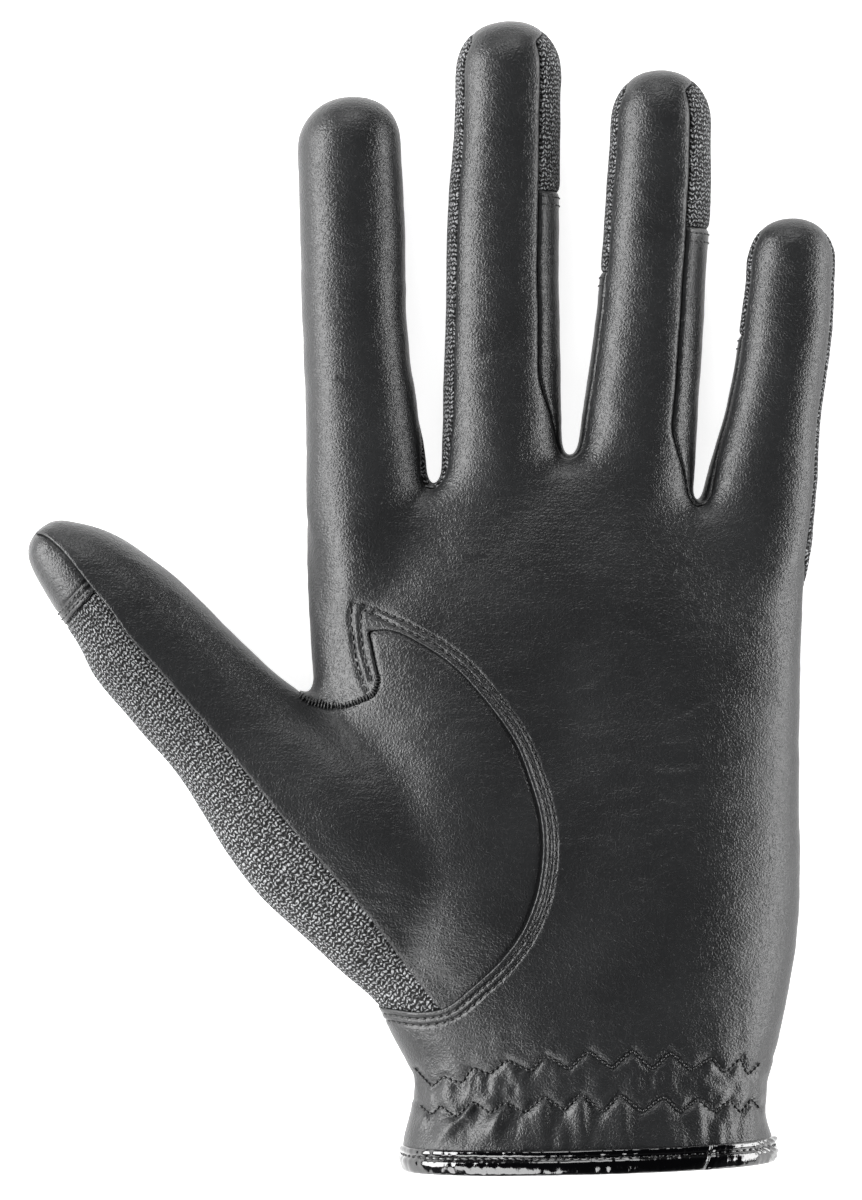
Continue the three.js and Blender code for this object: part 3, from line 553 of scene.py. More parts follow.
def seamFields(p):
    x, y, z = p.T
    width, length, depth = hand["palmWidth"], hand["palmLength"], hand["palmDepth"]
    share = y / length
    left, right = [np.interp(share, sideSeam[:, 0], sideSeam[:, k]) * depth for k in (1, 2)]
    side = smoothstep(x, -30, 30)
    palmSide = z - lerp(left, right, side)
    owner = fingerOf(p)
    front = np.zeros(len(p))
    walls = np.full((3, len(p)), -99.0)
    roundness = np.zeros(len(p))
    for k, f in enumerate(fingers):
        mine = (owner == k) & (y > hand["fingerLine"] - 8)
        q = p[mine]
        qy = np.maximum(q[:, 1], hand["fingerLine"] - 8)
        share = shareUp(f, qy)
        foot = 1 - 0.5 * f["width"] / (f["tipY"] - f["rootY"])
        cx, _, cz, half, deep = fingerAt(f, share)
        over = smoothstep(share, foot + 0.55 * (1 - foot), 1.0)
        cz = cz - over * f["tipDrop"] * deep
        angle = np.arctan2(q[:, 2] - cz, q[:, 0] - cx)
        angle = np.where(angle < -np.pi / 2, angle + 2 * np.pi, angle)
        radius = np.hypot(q[:, 2] - cz, q[:, 0] - cx)
        ends = []
        for s in (0, 1):
            tipTurn = math.radians(min(f["front"][0], -6) if s == 0 else max(f["front"][1], 186))
            ends.append(lerp(seamAngle(k, s, f["front"][s], hand["crotchFront"], qy), tipTurn, over))
        front[mine] = np.minimum((angle - ends[0]) * radius, (ends[1] - angle) * radius)
        roundness[mine] = angle * half
        for s, gap in ((0, k), (1, k - 1)):
            if gap < 0 or gap > 2 or f["wallTo"][s] == 0:
                continue
            back = seamAngle(k, s, f["back"][s], hand["crotchBack"], qy)
            sign = 1 if s == 0 else -1
            inFront = sign * (ends[s] - angle) * radius
            behind = sign * (angle - back) * radius
            end = (f["wallTo"][s] - share) * (f["tipY"] - f["rootY"])
            below = qy - (crotchY(gap) - 4)
            wall = np.minimum(np.minimum(inFront, behind), np.minimum(end, below))
            walls[gap][mine] = np.maximum(walls[gap][mine], wall)
    join = smoothstep(y, hand["fingerLine"] - 6, hand["fingerLine"] + 4)
    front = lerp(palmSide, np.clip(front, -30, 30), join)
    faceLine = polygonDistance(p, thumbEdge.tolist() + thumbHeel[1:])
    backLine = polygonDistance(p, thumbWeb + thumbBackLine + thumbHeel)
    ball = lerp(backLine, faceLine, smoothstep(z, 8, 12))
    flat = p[:, :2] - thumbTip
    along = flat @ thumbAhead / thumb["length"]
    centre, mid, half, rise, drop, seam = thumbAt(np.clip(along, 0.016, 0.95))
    across = np.sum((p[:, :2] - centre.T) * thumbOver, 1)
    angle = np.arctan2(z - mid, across)
    radius = np.hypot(z - mid, across)
    power = hand["roundness"] / 2
    seamTurn = np.arccos(np.sign(seam) * np.abs(seam) ** power)
    fx, fz = oval(seamTurn, half, rise, drop)
    bx, bz = oval(-math.acos(thumb["backSeam"] ** power) * np.ones(len(p)), half, rise, drop)
    inner = np.minimum((np.arctan2(fz, fx) - angle) * radius, (angle - np.arctan2(bz, bx)) * radius)
    cap = thumb["cap"] - along * thumb["length"]
    return {"front": front, "thumb": ball, "inner": inner, "cap": cap,
            "wall0": walls[0], "wall1": walls[1], "wall2": walls[2],
            "round": roundness, "thumbRound": angle * 12, "thumbAlong": along * thumb["length"]}


print("stage: slack, folds and gathers")
points = softenCrotches(points, tris)
points = points + normalsOf(points, tris) * (slackRelief(points) + cuffRelief(points))[:, None]
points[:, 2] = np.maximum(points[:, 2], 0)

print("stage: seam fields")
fields = seamFields(points)
normals = normalsOf(points, tris)
columns = ["x", "y", "z", "nx", "ny", "nz"] + list(fields)
skin = np.column_stack([points, normals] + [fields[name] for name in fields])
at = {name: k for k, name in enumerate(columns)}


def cut(data, faces, g, both=False):     # splits triangles where g is 0, and keeps the side above it or both
    g = np.where(np.abs(g) < 0.05, 0, g)
    v = g[faces]
    whole = v.min(1) >= 0 if not both else (v.min(1) >= 0) | (v.max(1) <= 0)
    mixed = faces[(v.min(1) < 0) & (v.max(1) > 0)]
    kept = [faces[whole & ~((v == 0).all(1))]] if not both else [faces[whole]]
    w = g[mixed]
    hasZero = (w == 0).any(1)
    tz = mixed[hasZero]
    if len(tz):
        turn = np.argmax(g[tz] == 0, 1)
        tz = np.stack([tz[np.arange(len(tz)), (turn + k) % 3] for k in range(3)], 1)
    tn = mixed[~hasZero]
    if len(tn):
        sign = g[tn] > 0
        lone = np.where(sign.sum(1) == 1, np.argmax(sign, 1), np.argmax(~sign, 1))
        tn = np.stack([tn[np.arange(len(tn)), (lone + k) % 3] for k in range(3)], 1)
    pairs = np.vstack([tz[:, [1, 2]], tn[:, [0, 1]], tn[:, [0, 2]]]) if len(mixed) else np.zeros((0, 2), int)
    ordered = np.sort(pairs, 1)
    unique, where = np.unique(ordered, axis=0, return_inverse=True)
    where = where.reshape(-1)
    t = (g[unique[:, 0]] / (g[unique[:, 0]] - g[unique[:, 1]]))[:, None] if len(unique) else np.zeros((0, 1))
    fresh = data[unique[:, 0]] * (1 - t) + data[unique[:, 1]] * t
    made = where + len(data)
    nz, nn = len(tz), len(tn)
    mz, m1, m2 = made[:nz], made[nz:nz + nn], made[nz + nn:]
    if nz:
        first = np.column_stack([tz[:, 0], tz[:, 1], mz])
        second = np.column_stack([tz[:, 0], mz, tz[:, 2]])
        up = g[tz[:, 1]] > 0
        kept += [first, second] if both else [np.where(up[:, None], first, second)]
    if nn:
        lone = np.column_stack([tn[:, 0], m1, m2])
        quadA = np.column_stack([m1, tn[:, 1], tn[:, 2]])
        quadB = np.column_stack([m1, tn[:, 2], m2])
        up = g[tn[:, 0]] > 0
        kept += [lone, quadA, quadB] if both else [lone[up], quadA[~up], quadB[~up]]
    data = np.vstack([data, fresh])
    faces = np.vstack(kept)
    used = np.unique(faces)
    lookup = np.full(len(data), -1)
    lookup[used] = np.arange(len(used))
    return data[used], lookup[faces]


# how each panel's edges lie: turned in, lapped over the next panel, or tucked under it
seams = {
    "grooveDepth": 0.56,    # a turned seam draws both edges in
    "grooveReach": 0.36,
    "buttDepth": 0.1,       # two knit pieces that meet edge to edge
    "lapLift": 0.34,        # a lapped edge stands on the panel below
    "lapReach": 2.4,
    "edgeRound": 0.3,       # its folded edge
    "tuckDepth": 0.3,       # the panel below dives under it
    "tuckReach": 1.0,
    "tuck": 1.4,            # and runs on by this much
    "rowDepth": 0.38,
    "rowReach": 0.34,
}
panelEdges = {
    "palm_panel": [("front", 1, "turned"), ("thumb", -1, "sewn")],
    "back_panel": [("front", -1, "turned"), ("thumb", -1, "turned"), ("wall0", -1, "butted"),
                   ("wall1", -1, "turned"), ("wall2", -1, "turned")],
    "fourchette_index_middle": [("wall0", 1, "butted"), ("front", -1, "turned")],
    "fourchette_middle_ring": [("wall1", 1, "turned")],
    "fourchette_ring_little": [("wall2", 1, "turned")],
    "thumb_panel": [("thumb", 1, "under"), ("inner", 1, "over")],
    "thumb_back": [("thumb", 1, "under"), ("inner", -1, "under"), ("cap", -1, "under")],
    "thumb_cap": [("thumb", 1, "under"), ("inner", -1, "under"), ("cap", 1, "stitched")],
}


# how far from an edge the skin gets finer triangles
edgeCuts = {"turned": (0.2, 0.55), "butted": (0.3,), "over": (0.1, 0.3, 0.6), "under": (0.1, 0.8)}
rowCuts = (0.1, 0.3, 0.6, 0.95, 1.25, 1.55, 1.9, 2.2, 2.5, 2.8, 3.2)


def edgeHeight(d, kind):     # at a distance d in from the edge
    if kind == "turned":
        return -seams["grooveDepth"] * np.exp(-np.maximum(d, 0) / seams["grooveReach"])
    if kind == "butted":
        return -seams["buttDepth"] * np.exp(-np.maximum(d, 0) / seams["grooveReach"])
    if kind in ("over", "sewn", "stitched"):
        r = seams["edgeRound"]
        inset = np.clip(r - d, 0, r)
        height = seams["lapLift"] * bell(d / seams["lapReach"]) - r
        height += np.sqrt(np.maximum(r * r - inset * inset, 0))
        for row in rowGaps if kind == "stitched" else ():
            height -= seams["rowDepth"] * bell((d - row) / seams["rowReach"])
        return height
    return -seams["tuckDepth"] * (1 - smoothstep(d, -0.2, seams["tuckReach"]))


outerSkin = []


def panel(name):     # cuts one panel out of the skin and shapes its edges
    data, faces = cut(skin, tris, skin[:, at["y"]] - 3.2)
    for key, sign, kind in panelEdges[name]:
        for level in edgeCuts.get(kind, rowCuts):
            data, faces = cut(data, faces, sign * data[:, at[key]] - level, both=True)
        limit = -seams["tuck"] if kind == "under" else 0.0
        data, faces = cut(data, faces, sign * data[:, at[key]] - limit)
    height = np.zeros(len(data))
    for key, sign, kind in panelEdges[name]:
        height += edgeHeight(sign * data[:, at[key]], kind)
    if name == "palm_panel":
        sewn = (data[:, at["thumb"]] > -7) & (data[:, 2] > 8)
        gap = np.minimum(*[lineDistance(data[sewn, :2], row) for row in stitchRows])
        height[sewn] -= seams["rowDepth"] * bell(gap / seams["rowReach"])
    height = np.where(height > 0, height * smoothstep(data[:, at["nz"]], 0.05, 0.5), height)
    out = data[:, 3:6] / np.maximum(np.linalg.norm(data[:, 3:6], axis=1, keepdims=True), 1e-9)
    moved = data[:, :3] + out * np.maximum(height, -1.2)[:, None]
    moved[:, 2] = np.maximum(moved[:, 2], 0.02)
    outerSkin.append((moved, faces))
    return moved, faces, data


def meshObject(name, moved, faces, material, uv=None):
    mesh = bpy.data.meshes.new(name)
    mesh.from_pydata(((moved - shift) * mm).tolist(), [], faces.tolist())
    mesh.update()
    mesh.shade_smooth()
    if uv is not None:
        layer = mesh.uv_layers.new(name="UVMap")
        corner = np.zeros(len(mesh.loops), int)
        mesh.loops.foreach_get("vertex_index", corner)
        layer.data.foreach_set("uv", uv[corner].astype(np.float32).ravel())
    mesh.materials.append(material)
    obj = bpy.data.objects.new(name + "_look", mesh)
    bpy.context.scene.collection.objects.link(obj)
    return obj


def applyModifiers(obj):
    done = bpy.data.meshes.new_from_object(obj.evaluated_get(bpy.context.evaluated_depsgraph_get()))
    obj.modifiers.clear()
    obj.data = done
    return obj


def wallUp(obj, thickness):     # inwards; the inner wall of a large panel gets fewer triangles
    outer = len(obj.data.vertices)
    solid = obj.modifiers.new("wall", "SOLIDIFY")
    solid.thickness = thickness * mm
    solid.offset = -1
    solid.use_rim = True
    obj = applyModifiers(obj)
    triangles = len(obj.data.loops) - 2 * len(obj.data.polygons)
    if triangles > hand["mostTriangles"]:
        inner = obj.vertex_groups.new(name="inner")
        inner.add(list(range(outer, len(obj.data.vertices))), 1.0, "REPLACE")
        thinned = obj.modifiers.new("thinned", "DECIMATE")
        thinned.ratio = hand["mostTriangles"] / triangles
        thinned.vertex_group = "inner"
        obj = applyModifiers(obj)
    for vertex in obj.data.vertices:
        vertex.co.z = max(vertex.co.z, 0.00002)
    return obj


# materials
def linear(hexColour):
    channels = [int(hexColour[i:i + 2], 16) / 255 for i in (1, 3, 5)]
    return [c / 12.92 if c <= 0.04045 else ((c + 0.055) / 1.055) ** 2.4 for c in channels] + [1]


# adds a node with its settings; each input takes a value, a socket or the node that feeds it
def node(tree, kind, inputs={}, **settings):
    made = tree.nodes.new(kind)
    for key, value in settings.items():
        setattr(made, key, value)
    for socket, value in inputs.items():
        if isinstance(value, bpy.types.Node):
            value = next(out for out in value.outputs if out.enabled)
        if isinstance(value, bpy.types.NodeSocket):
            tree.links.new(value, made.inputs[socket])
        else:
            made.inputs[socket].default_value = value
    return made


def newMaterial(name, colour, roughness, ior=1.5):
    material = bpy.data.materials.new(name)
    material.use_nodes = True
    shader = material.node_tree.nodes["Principled BSDF"]
    shader.inputs["Base Color"].default_value = linear(colour)
    shader.inputs["Roughness"].default_value = roughness
    shader.inputs["IOR"].default_value = ior
    return material, material.node_tree, shader


lambskin = {
    "dark": "#131314", "light": "#1f2021",
    "roughness": 0.36,
    "pebble": 0.64,         # mm across a pebble of the grain, coarser than real so that it shows
    "pebbleDepth": 0.036,
    "creaseLength": 4.6,    # mm
    "creaseWidth": 0.85,
    "creaseDepth": 0.1,
    "pores": 0.2,           # mm
    "poreDepth": 0.02,
    "strayPerMm": 0.7,      # bends the grain
    "patchesPerMm": 0.06,   # worn and unworn places
}


# Dyed lambskin with a pebbled, creased grain: it breaks the highlights up into fine light flecks.
def makeLeather():
    material, tree, shader = newMaterial("lambskinDyedBlack", lambskin["dark"], lambskin["roughness"])
    place = node(tree, "ShaderNodeTexCoord").outputs["Object"]
    inMm = node(tree, "ShaderNodeMapping", {"Vector": place, "Scale": (1000, 1000, 1000)})
    bend = node(tree, "ShaderNodeTexNoise", {"Vector": inMm, "Scale": lambskin["strayPerMm"], "Detail": 2.0})
    warped = node(tree, "ShaderNodeVectorMath", {0: inMm, 1: bend.outputs["Color"]}, operation="ADD")
    cells = {"Vector": warped, "Scale": 1 / lambskin["pebble"]}
    pebbles = node(tree, "ShaderNodeTexVoronoi", cells, feature="DISTANCE_TO_EDGE")
    domes = {"Value": pebbles, "From Max": 0.35, "To Max": lambskin["pebbleDepth"]}
    domes = node(tree, "ShaderNodeMapRange", domes, interpolation_type="SMOOTHSTEP")
    along, over = 1 / lambskin["creaseLength"], 1 / lambskin["creaseWidth"]
    stretched = node(tree, "ShaderNodeMapping", {"Vector": warped, "Scale": (along, over, over)})
    folds = {"Vector": stretched, "Scale": 0.9, "Detail": 2.5, "Roughness": 0.55}
    folds = {0: node(tree, "ShaderNodeTexNoise", folds), 1: lambskin["creaseDepth"], 2: domes}
    creased = node(tree, "ShaderNodeMath", folds, operation="MULTIPLY_ADD")
    pores = {"Vector": inMm, "Scale": 1 / lambskin["pores"], "Detail": 2.0}
    pores = {0: node(tree, "ShaderNodeTexNoise", pores), 1: lambskin["poreDepth"], 2: creased}
    height = node(tree, "ShaderNodeMath", pores, operation="MULTIPLY_ADD")
    bump = node(tree, "ShaderNodeBump", {"Height": height, "Strength": 1.0, "Distance": mm})
    tree.links.new(bump.outputs["Normal"], shader.inputs["Normal"])
    patches = {"Vector": inMm, "Scale": lambskin["patchesPerMm"], "Detail": 3.0}
    patches = node(tree, "ShaderNodeTexNoise", patches)
    ends = {"Factor": patches, "A": linear(lambskin["dark"]), "B": linear(lambskin["light"])}
    colour = node(tree, "ShaderNodeMix", ends, data_type="RGBA")
    tree.links.new(colour.outputs["Result"], shader.inputs["Base Color"])
    low, high = lambskin["roughness"] - 0.05, lambskin["roughness"] + 0.07
    worn = node(tree, "ShaderNodeMapRange", {"Value": patches, "To Min": low, "To Max": high})
    tree.links.new(worn.outputs["Result"], shader.inputs["Roughness"])
    return material


jersey = {
    # base colours: near-black painted shade in the gaps between the loops, pale grey painted highlight on
    # the loop tops
    "gap": "#020202", "yarnHighlight": "#c4c5c7",
    "wale": 1.3,            # mm between two columns of loops, coarser than real so that they show
    "course": 0.86,         # mm between two rows
    "slant": 1.15,          # of a loop's legs
    "depth": 0.34,          # mm
    "waver": 0.75,          # mm that the loops stray
    "strayPerMm": 0.9,
    "fuzzPerMm": 2.1,       # loose fibres that hide some loops
    "roughness": 0.62,
    "shine": 0.16,
}


# Black jersey, machine knitted: columns of slanted loops whose tops catch the light. Its base colour is
# painted light: pale painted highlights on the loop tops and near-black painted shade in the gaps between
# them.
def makeKnit():
    material, tree, shader = newMaterial("jerseyKnitBlack", jersey["gap"], jersey["roughness"])
    shader.inputs["Specular IOR Level"].default_value = jersey["shine"]
    uv = node(tree, "ShaderNodeTexCoord").outputs["UV"]
    stray = node(tree, "ShaderNodeTexNoise", {"Vector": uv, "Scale": jersey["strayPerMm"], "Detail": 3.0})
    away = {0: stray.outputs["Color"], 1: [2 * jersey["waver"]] * 3, 2: uv}
    away = node(tree, "ShaderNodeVectorMath", away, operation="MULTIPLY_ADD")
    flat = node(tree, "ShaderNodeSeparateXYZ", {"Vector": away}).outputs
    fuzz = {"Vector": uv, "Scale": jersey["fuzzPerMm"], "Detail": 3.0, "Roughness": 0.75}
    fuzz = node(tree, "ShaderNodeTexNoise", fuzz)
    parts = {"x": flat["X"], "y": flat["Y"], "fuzz": fuzz}
    steps = [
        ("wales", "DIVIDE", "x", jersey["wale"]),
        ("wale", "FRACT", "wales"),
        ("offCentre", "SUBTRACT", "wale", 0.5),
        ("half", "ABSOLUTE", "offCentre"),      # each column is two mirrored legs
        ("courses", "DIVIDE", "y", jersey["course"]),
        ("slanted", "MULTIPLY_ADD", "half", jersey["slant"], "courses"),
        ("turn", "MULTIPLY", "slanted", 2 * math.pi),
        ("wave", "SINE", "turn"),
        ("loop", "MULTIPLY_ADD", "wave", 0.5, 0.5),
        ("halfTurn", "MULTIPLY", "half", 2 * math.pi),
        ("arch", "SINE", "halfTurn"),
        ("archTop", "MAXIMUM", "arch", 0.0),
        ("yarnHighlight", "POWER", "archTop", 0.7),
        ("knitted", "MULTIPLY", "loop", "yarnHighlight"),
        ("uneven", "MULTIPLY_ADD", "fuzz", 5.0, -1.7),
        ("fluff", "MAXIMUM", "uneven", 0.0),
        ("height", "MULTIPLY", "knitted", "fluff"),
        ("relief", "MULTIPLY", "height", jersey["depth"]),
        # painted highlight: the higher the yarn, the paler its base colour
        ("bright", "MULTIPLY", "height", 1.35),
        ("capped", "MINIMUM", "bright", 1.0),
        ("paintedHighlight", "POWER", "capped", 2.2),
    ]
    for name, operation, *values in steps:
        inputs = {k: parts.get(value, value) for k, value in enumerate(values)}
        parts[name] = node(tree, "ShaderNodeMath", inputs, operation=operation)
    bump = node(tree, "ShaderNodeBump", {"Height": parts["relief"], "Strength": 1.0, "Distance": mm})
    tree.links.new(bump.outputs["Normal"], shader.inputs["Normal"])
    # base colour runs from painted shade in the gaps to painted highlight on the loop tops
    ends = {"Factor": parts["paintedHighlight"], "A": linear(jersey["gap"]), "B": linear(jersey["yarnHighlight"])}
    colour = node(tree, "ShaderNodeMix", ends, data_type="RGBA")
    tree.links.new(colour.outputs["Result"], shader.inputs["Base Color"])
    return material


foil = {
    "colour": "#030304",
    "roughness": 0.1,
    "ripple": 0.9,          # mm across the band
    "rippleDepth": 0.09,
}


# Lacquered band: nearly black, with hard bright reflections that its small ripples break up.
def makePatent():
    material, tree, shader = newMaterial("patentFoilBlack", foil["colour"], foil["roughness"], 1.55)
    shader.inputs["Coat Weight"].default_value = 0.6
    shader.inputs["Coat Roughness"].default_value = 0.05
    place = node(tree, "ShaderNodeTexCoord").outputs["Object"]
    scale = (1000 / foil["ripple"], 400 / foil["ripple"], 600 / foil["ripple"])
    stretched = node(tree, "ShaderNodeMapping", {"Vector": place, "Scale": scale})
    ripples = node(tree, "ShaderNodeTexNoise", {"Vector": stretched, "Scale": 1.0, "Detail": 3.0})
    depth = node(tree, "ShaderNodeMath", {0: ripples, 1: foil["rippleDepth"]}, operation="MULTIPLY")
    bump = node(tree, "ShaderNodeBump", {"Height": depth, "Strength": 1.0, "Distance": mm})
    tree.links.new(bump.outputs["Normal"], shader.inputs["Normal"])
    return material


leather, knit, patent = makeLeather(), makeKnit(), makePatent()
# Spun polyester, waxed for sewing: a little lighter than the leather, with a faint gloss on each stitch.
threadBlack, _, _ = newMaterial("polyesterThreadBlack", "#151516", 0.34)
slots = {"leather": leather, "knit": knit, "patent_binding": patent}
pieceSlots = {
    "palm_panel": "leather", "back_panel": "knit", "fourchette_index_middle": "knit",
    "fourchette_middle_ring": "leather", "fourchette_ring_little": "leather",
    "thumb_panel": "leather", "thumb_back": "knit", "thumb_cap": "leather",
}

print("stage: panels")
for name in panelEdges:
    moved, faces, data = panel(name)
    slot = pieceSlots[name]
    if name.startswith("thumb"):
        uv = data[:, [at["thumbRound"], at["thumbAlong"]]]
    else:
        onFinger = data[:, at["y"]] > hand["fingerLine"]
        uv = np.column_stack([np.where(onFinger, data[:, at["round"]], data[:, at["x"]]), data[:, at["y"]]])
    piece = wallUp(meshObject(name, moved, faces, slots[slot], uv), hand["wall"])
    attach(piece, "root")
    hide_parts(name)
    print(f"  {name}: {len(piece.data.loops) - 2 * len(piece.data.polygons)} triangles")

# stitches
thread = {
    "width": 0.36,
    "length": 1.3,
    "gap": 0.42,
    "sides": 6,
    # place along a stitch, radius and lift, in widths
    "shape": [(0, 0.35, -0.3), (0.14, 0.85, 0.12), (0.5, 1.0, 0.42), (0.86, 0.85, 0.12), (1, 0.35, -0.3)],
}
counts = np.cumsum([0] + [len(m) for m, _ in outerSkin])
skinTree = BVHTree.FromPolygons(np.vstack([m for m, _ in outerSkin]).tolist(),
                                np.vstack([f + c for (_, f), c in zip(outerSkin, counts)]).tolist())


def fromAbove(line):     # points of a flat line on top of the glove, where they meet it
    found = [skinTree.ray_cast(Vector((x, y, 60)), Vector((0, 0, -1))) for x, y in line]
    return np.array([hit[0] for hit in found if hit[0] is not None])


def resample(line, step):
    line = np.asarray(line, float)
    length = np.concatenate([[0], np.cumsum(np.linalg.norm(np.diff(line, axis=0), axis=1))])
    marks = np.arange(0, length[-1], step)
    return np.column_stack([np.interp(marks, length, line[:, k]) for k in range(line.shape[1])])


def stitch(a, b, width, store, surface=skinTree):     # dips in at both ends
    (pa, na, _, _), (pb, nb, _, _) = surface.find_nearest(Vector(a)), surface.find_nearest(Vector(b))
    up = (na + nb).normalized()
    along = (pb - pa).normalized()
    side = along.cross(up).normalized()
    points, faces = store
    base = len(points)
    sides = thread["sides"]
    for t, radius, lift in thread["shape"]:
        centre = pa.lerp(pb, t) + up * lift * width
        for k in range(sides):
            angle = 2 * math.pi * k / sides
            points.append(centre + (side * math.cos(angle) + up * math.sin(angle)) * radius * width / 2)
    for ring in range(4):
        for k in range(sides):
            j = (k + 1) % sides
            faces.append((base + ring * sides + k, base + ring * sides + j, base + (ring + 1) * sides + j,
                          base + (ring + 1) * sides + k))
    faces.append([base + k for k in reversed(range(sides))])
    faces.append([base + 4 * sides + k for k in range(sides)])


def stitchLine(line, store, length=thread["length"], gap=thread["gap"], width=thread["width"],
               surface=skinTree):
    ends = resample(line, 0.05)
    pace, take = round((length + gap) / 0.05), round(length / 0.05)
    for start in range(0, len(ends) - take, pace):
        stitch(ends[start], ends[start + take], width, store, surface)


def threadObject(name, store):
    points, faces = store
    mesh = bpy.data.meshes.new(name)
    mesh.from_pydata([((np.array(p) - shift) * mm).tolist() for p in points], [], faces)
    mesh.shade_smooth()
    mesh.materials.append(threadBlack)
    obj = bpy.data.objects.new(name, mesh)
    bpy.context.scene.collection.objects.link(obj)
    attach(obj, "root")
    return obj


def fingerRow(k, side, y):     # a line across a finger's side, from its front seam to the back
    f = fingers[k]
    x, _, z, half, depth = fingerAt(f, shareUp(f, y))
    start, end = (f["front"][0] - 3, -25) if side == 0 else (f["front"][1] + 3, 205)
    turns = np.radians(np.linspace(start, end, 24))
    ox, oz = oval(turns, half, depth, depth)
    return np.column_stack([x + ox, np.full(24, y), z + oz])


def thumbRow(along):
    centre, mid, half, rise, drop, seam = thumbAt(np.array([along / thumb["length"]]))
    turns = np.linspace(np.arccos(seam[0]) + 0.06, math.radians(225), 24)
    ox, oz = oval(turns, half[0], rise[0], drop[0])
    return np.column_stack([centre[:, 0] + ox[:, None] * thumbOver, mid[0] + oz])


print("stage: stitches")
opening = ([], [])
for row in stitchRows:
    stitchLine(fromAbove(resample(row, 0.4)), opening)
web = resample(webLine[12:45] * palmScale, 0.62)        # overcast edge in the crotch of the thumb
for inner, outer in zip(offsetLine(web, -0.6), offsetLine(web, 0.7)):
    stray = 0.3 * noise(np.array([[*inner, 0], [*outer, 9]]), (0.7, 0.7, 1), 31)[:, None]
    ends = fromAbove(np.array([inner, outer + (0.25, 0.1)]) + stray)
    if len(ends) == 2 and abs(ends[0][2] - ends[1][2]) < 2.6:
        stitch(ends[0], ends[1], 0.44, opening)
for k, side in ((1, 0), (2, 0), (2, 1), (3, 1)):
    f = fingers[k]
    end = f["rootY"] + f["wallTo"][side] * (f["tipY"] - f["rootY"])
    for drop in (1.1, 2.6):
        stitchLine(fingerRow(k, side, end - drop), opening, 1.0, 0.4, 0.3)
for along in (thumb["cap"] - 1.25, thumb["cap"] - 2.5):
    stitchLine(thumbRow(along), opening, 1.1, 0.4)
threadObject("seam_stitches", opening)
zigzag = ([], [])
for row in (upperRow, lowerRow):
    stitchLine(fromAbove(resample(row, 0.3)), zigzag, 1.05, 0.12, 0.46)
threadObject("elastic_zigzag", zigzag)

# binding: a lacquered band folded round the hem
binding = {
    "foot": 2.2, "height": 4.7,
    "wrinkle": 0.12,
    "wave": 0.26,
    "fold": 0.55,           # the deep fold towards its right end
    "ridges": 0.16,         # turned-in corner at the right end
}
bandProfile = [
    (-1.1, 0.0), (0.15, 0.05), (0.6, -0.25), (0.7, -0.85), (0.34, -1.4), (0.32, -1.65), (0.76, -2.1),
    (0.9, -2.7), (0.68, -3.6), (0.3, -4.5), (-0.4, -4.7), (-1.3, -4.5), (-1.75, -3.6), (-1.75, -1.0),
    (-1.55, -0.15),
]


def bindingBand(sides=900):
    profile = smoothLine(bandProfile + bandProfile[:1], 2)[:-1]
    rings = []
    for out, down in profile:
        ring = palmRing((binding["foot"] + binding["height"] + down) / hand["palmLength"], 1.0, sides)
        ahead = np.roll(ring, -1, 0) - np.roll(ring, 1, 0)
        normal = np.column_stack([ahead[:, 2], np.zeros(sides), -ahead[:, 0]])
        normal /= np.linalg.norm(normal, axis=1, keepdims=True)
        x, y, z = ring.T
        lump = binding["wrinkle"] * noise(ring, (1.0, 2.6, 1.4), 21)
        lump += binding["wave"] * noise(ring, (6, 9, 6), 22)
        lump -= binding["fold"] * bell((x - 20.2 - 0.3 * y) / 0.5) * smoothstep(z, 12, 20)
        ridges = binding["ridges"] * np.sin((x * 1.2 + y) * 5.2)
        lump += ridges * smoothstep(x, 29.5, 31) * smoothstep(z, 6, 12)
        reach = out + lump * smoothstep(out, -0.2, 0.5)
        ring = ring + normal * reach[:, None]
        ring[:, 2] = np.maximum(ring[:, 2], 0.02 + 0.9 * (out < -1))
        rings.append(ring)
    count = len(rings)
    points = np.vstack(rings)
    faces = []
    for r in range(count):
        for i in range(sides):
            j, q = (i + 1) % sides, (r + 1) % count
            faces.append((r * sides + i, r * sides + j, q * sides + j, q * sides + i))
    return points, np.array(faces)


print("stage: binding")
points, faces = bindingBand()
band = meshObject("cuff_binding", points, faces[:, ::-1], patent)
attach(band, "root")
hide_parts("cuff_binding")
hemThread = ([], [])
line = palmRing((binding["foot"] + binding["height"] - 1.53) / hand["palmLength"], 1.0, 400)
line = line[(line[:, 2] > 3)]
line = np.roll(line, -int(np.argmax(line[:, 0])), 0)
bandTree = BVHTree.FromPolygons(points.tolist(), faces.tolist())
stitchLine(line[line[:, 2] > 9], hemThread, 1.0, 0.5, 0.3, bandTree)
threadObject("hem_stitches", hemThread)

# camera, floor and light
photo = {"centre": (-29.44, 107.6), "height": 947.5, "lens": 150, "floor": "#f4f4f4", "glow": 0.8}
cameraData = bpy.data.cameras.new("camera")
cameraData.lens = photo["lens"]
cameraData.sensor_width = 36
cameraData.clip_start, cameraData.clip_end = 0.05, 5
camera = bpy.data.objects.new("camera", cameraData)
camera.location = [(photo["centre"][k] - shift[k]) * mm for k in (0, 1)] + [photo["height"] * mm]
bpy.context.scene.collection.objects.link(camera)
bpy.context.scene.camera = camera

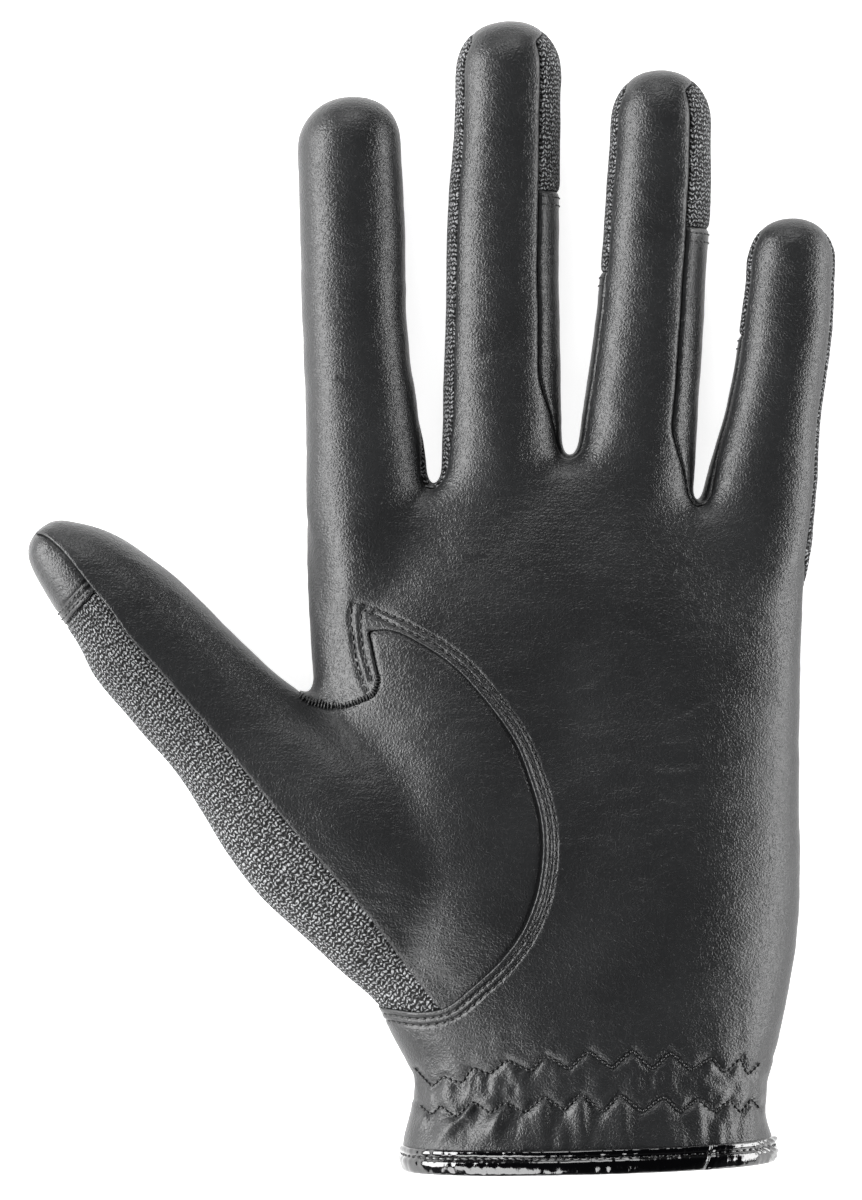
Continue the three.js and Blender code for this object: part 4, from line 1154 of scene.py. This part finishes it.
# Matt uncoated paper, lit from below as well: an even white ground that keeps only a faint shadow.
floorMaterial, _, paper = newMaterial("paperWhite", photo["floor"], 0.9)
paper.inputs["Emission Color"].default_value = (1, 1, 1, 1)
paper.inputs["Emission Strength"].default_value = photo["glow"]
bpy.ops.mesh.primitive_plane_add(size=6)
floor = bpy.context.object
floor.name = "floor"
floor.data.materials.append(floorMaterial)
bpy.context.scene.view_settings.view_transform = "Standard"     # keeps the ground white

studio = {
    "zenith": 0.24,         # light from straight above
    "side": 2.4,            # and from the horizon
    "horizonReach": 0.5,
    "fromLeft": 0.35,       # how much more comes from the left
    "boxes": {              # place and size in metres, watts
        "leftBox": ((-0.9, 0.1, 0.45), (1.2, 0.5), 26),
        "rightBox": ((0.9, 0.0, 0.22), (1.2, 0.3), 13),
        "frontBox": ((-0.5, -0.9, 0.75), (0.9, 0.55), 11),
        "topBox": ((0.0, 1.1, 0.7), (0.6, 0.6), 6),
    },
}
world = bpy.data.worlds.new("studio")
world.use_nodes = True
tree = world.node_tree
around = node(tree, "ShaderNodeTexCoord").outputs["Generated"]
sky = node(tree, "ShaderNodeSeparateXYZ", {"Vector": around}).outputs
heights = {"Value": sky["Z"], "From Min": 0.15, "From Max": 0.15 + studio["horizonReach"]}
heights |= {"To Min": studio["side"], "To Max": studio["zenith"]}
glow = node(tree, "ShaderNodeMapRange", heights)
leftward = {0: sky["X"], 1: -studio["fromLeft"], 2: 1.0}
leftward = node(tree, "ShaderNodeMath", leftward, operation="MULTIPLY_ADD")
strength = node(tree, "ShaderNodeMath", {0: glow, 1: leftward}, operation="MULTIPLY")
tree.links.new(strength.outputs["Value"], tree.nodes["Background"].inputs["Strength"])
bpy.context.scene.world = world

for name, (place, size, watts) in studio["boxes"].items():
    light = bpy.data.lights.new(name, "AREA")
    light.shape = "RECTANGLE"
    light.size, light.size_y = size
    light.energy = watts
    lamp = bpy.data.objects.new(name, light)
    lamp.location = place
    lamp.rotation_euler = (Vector() - Vector(place)).to_track_quat("-Z", "Y").to_euler()
    bpy.context.scene.collection.objects.link(lamp)

print("done")
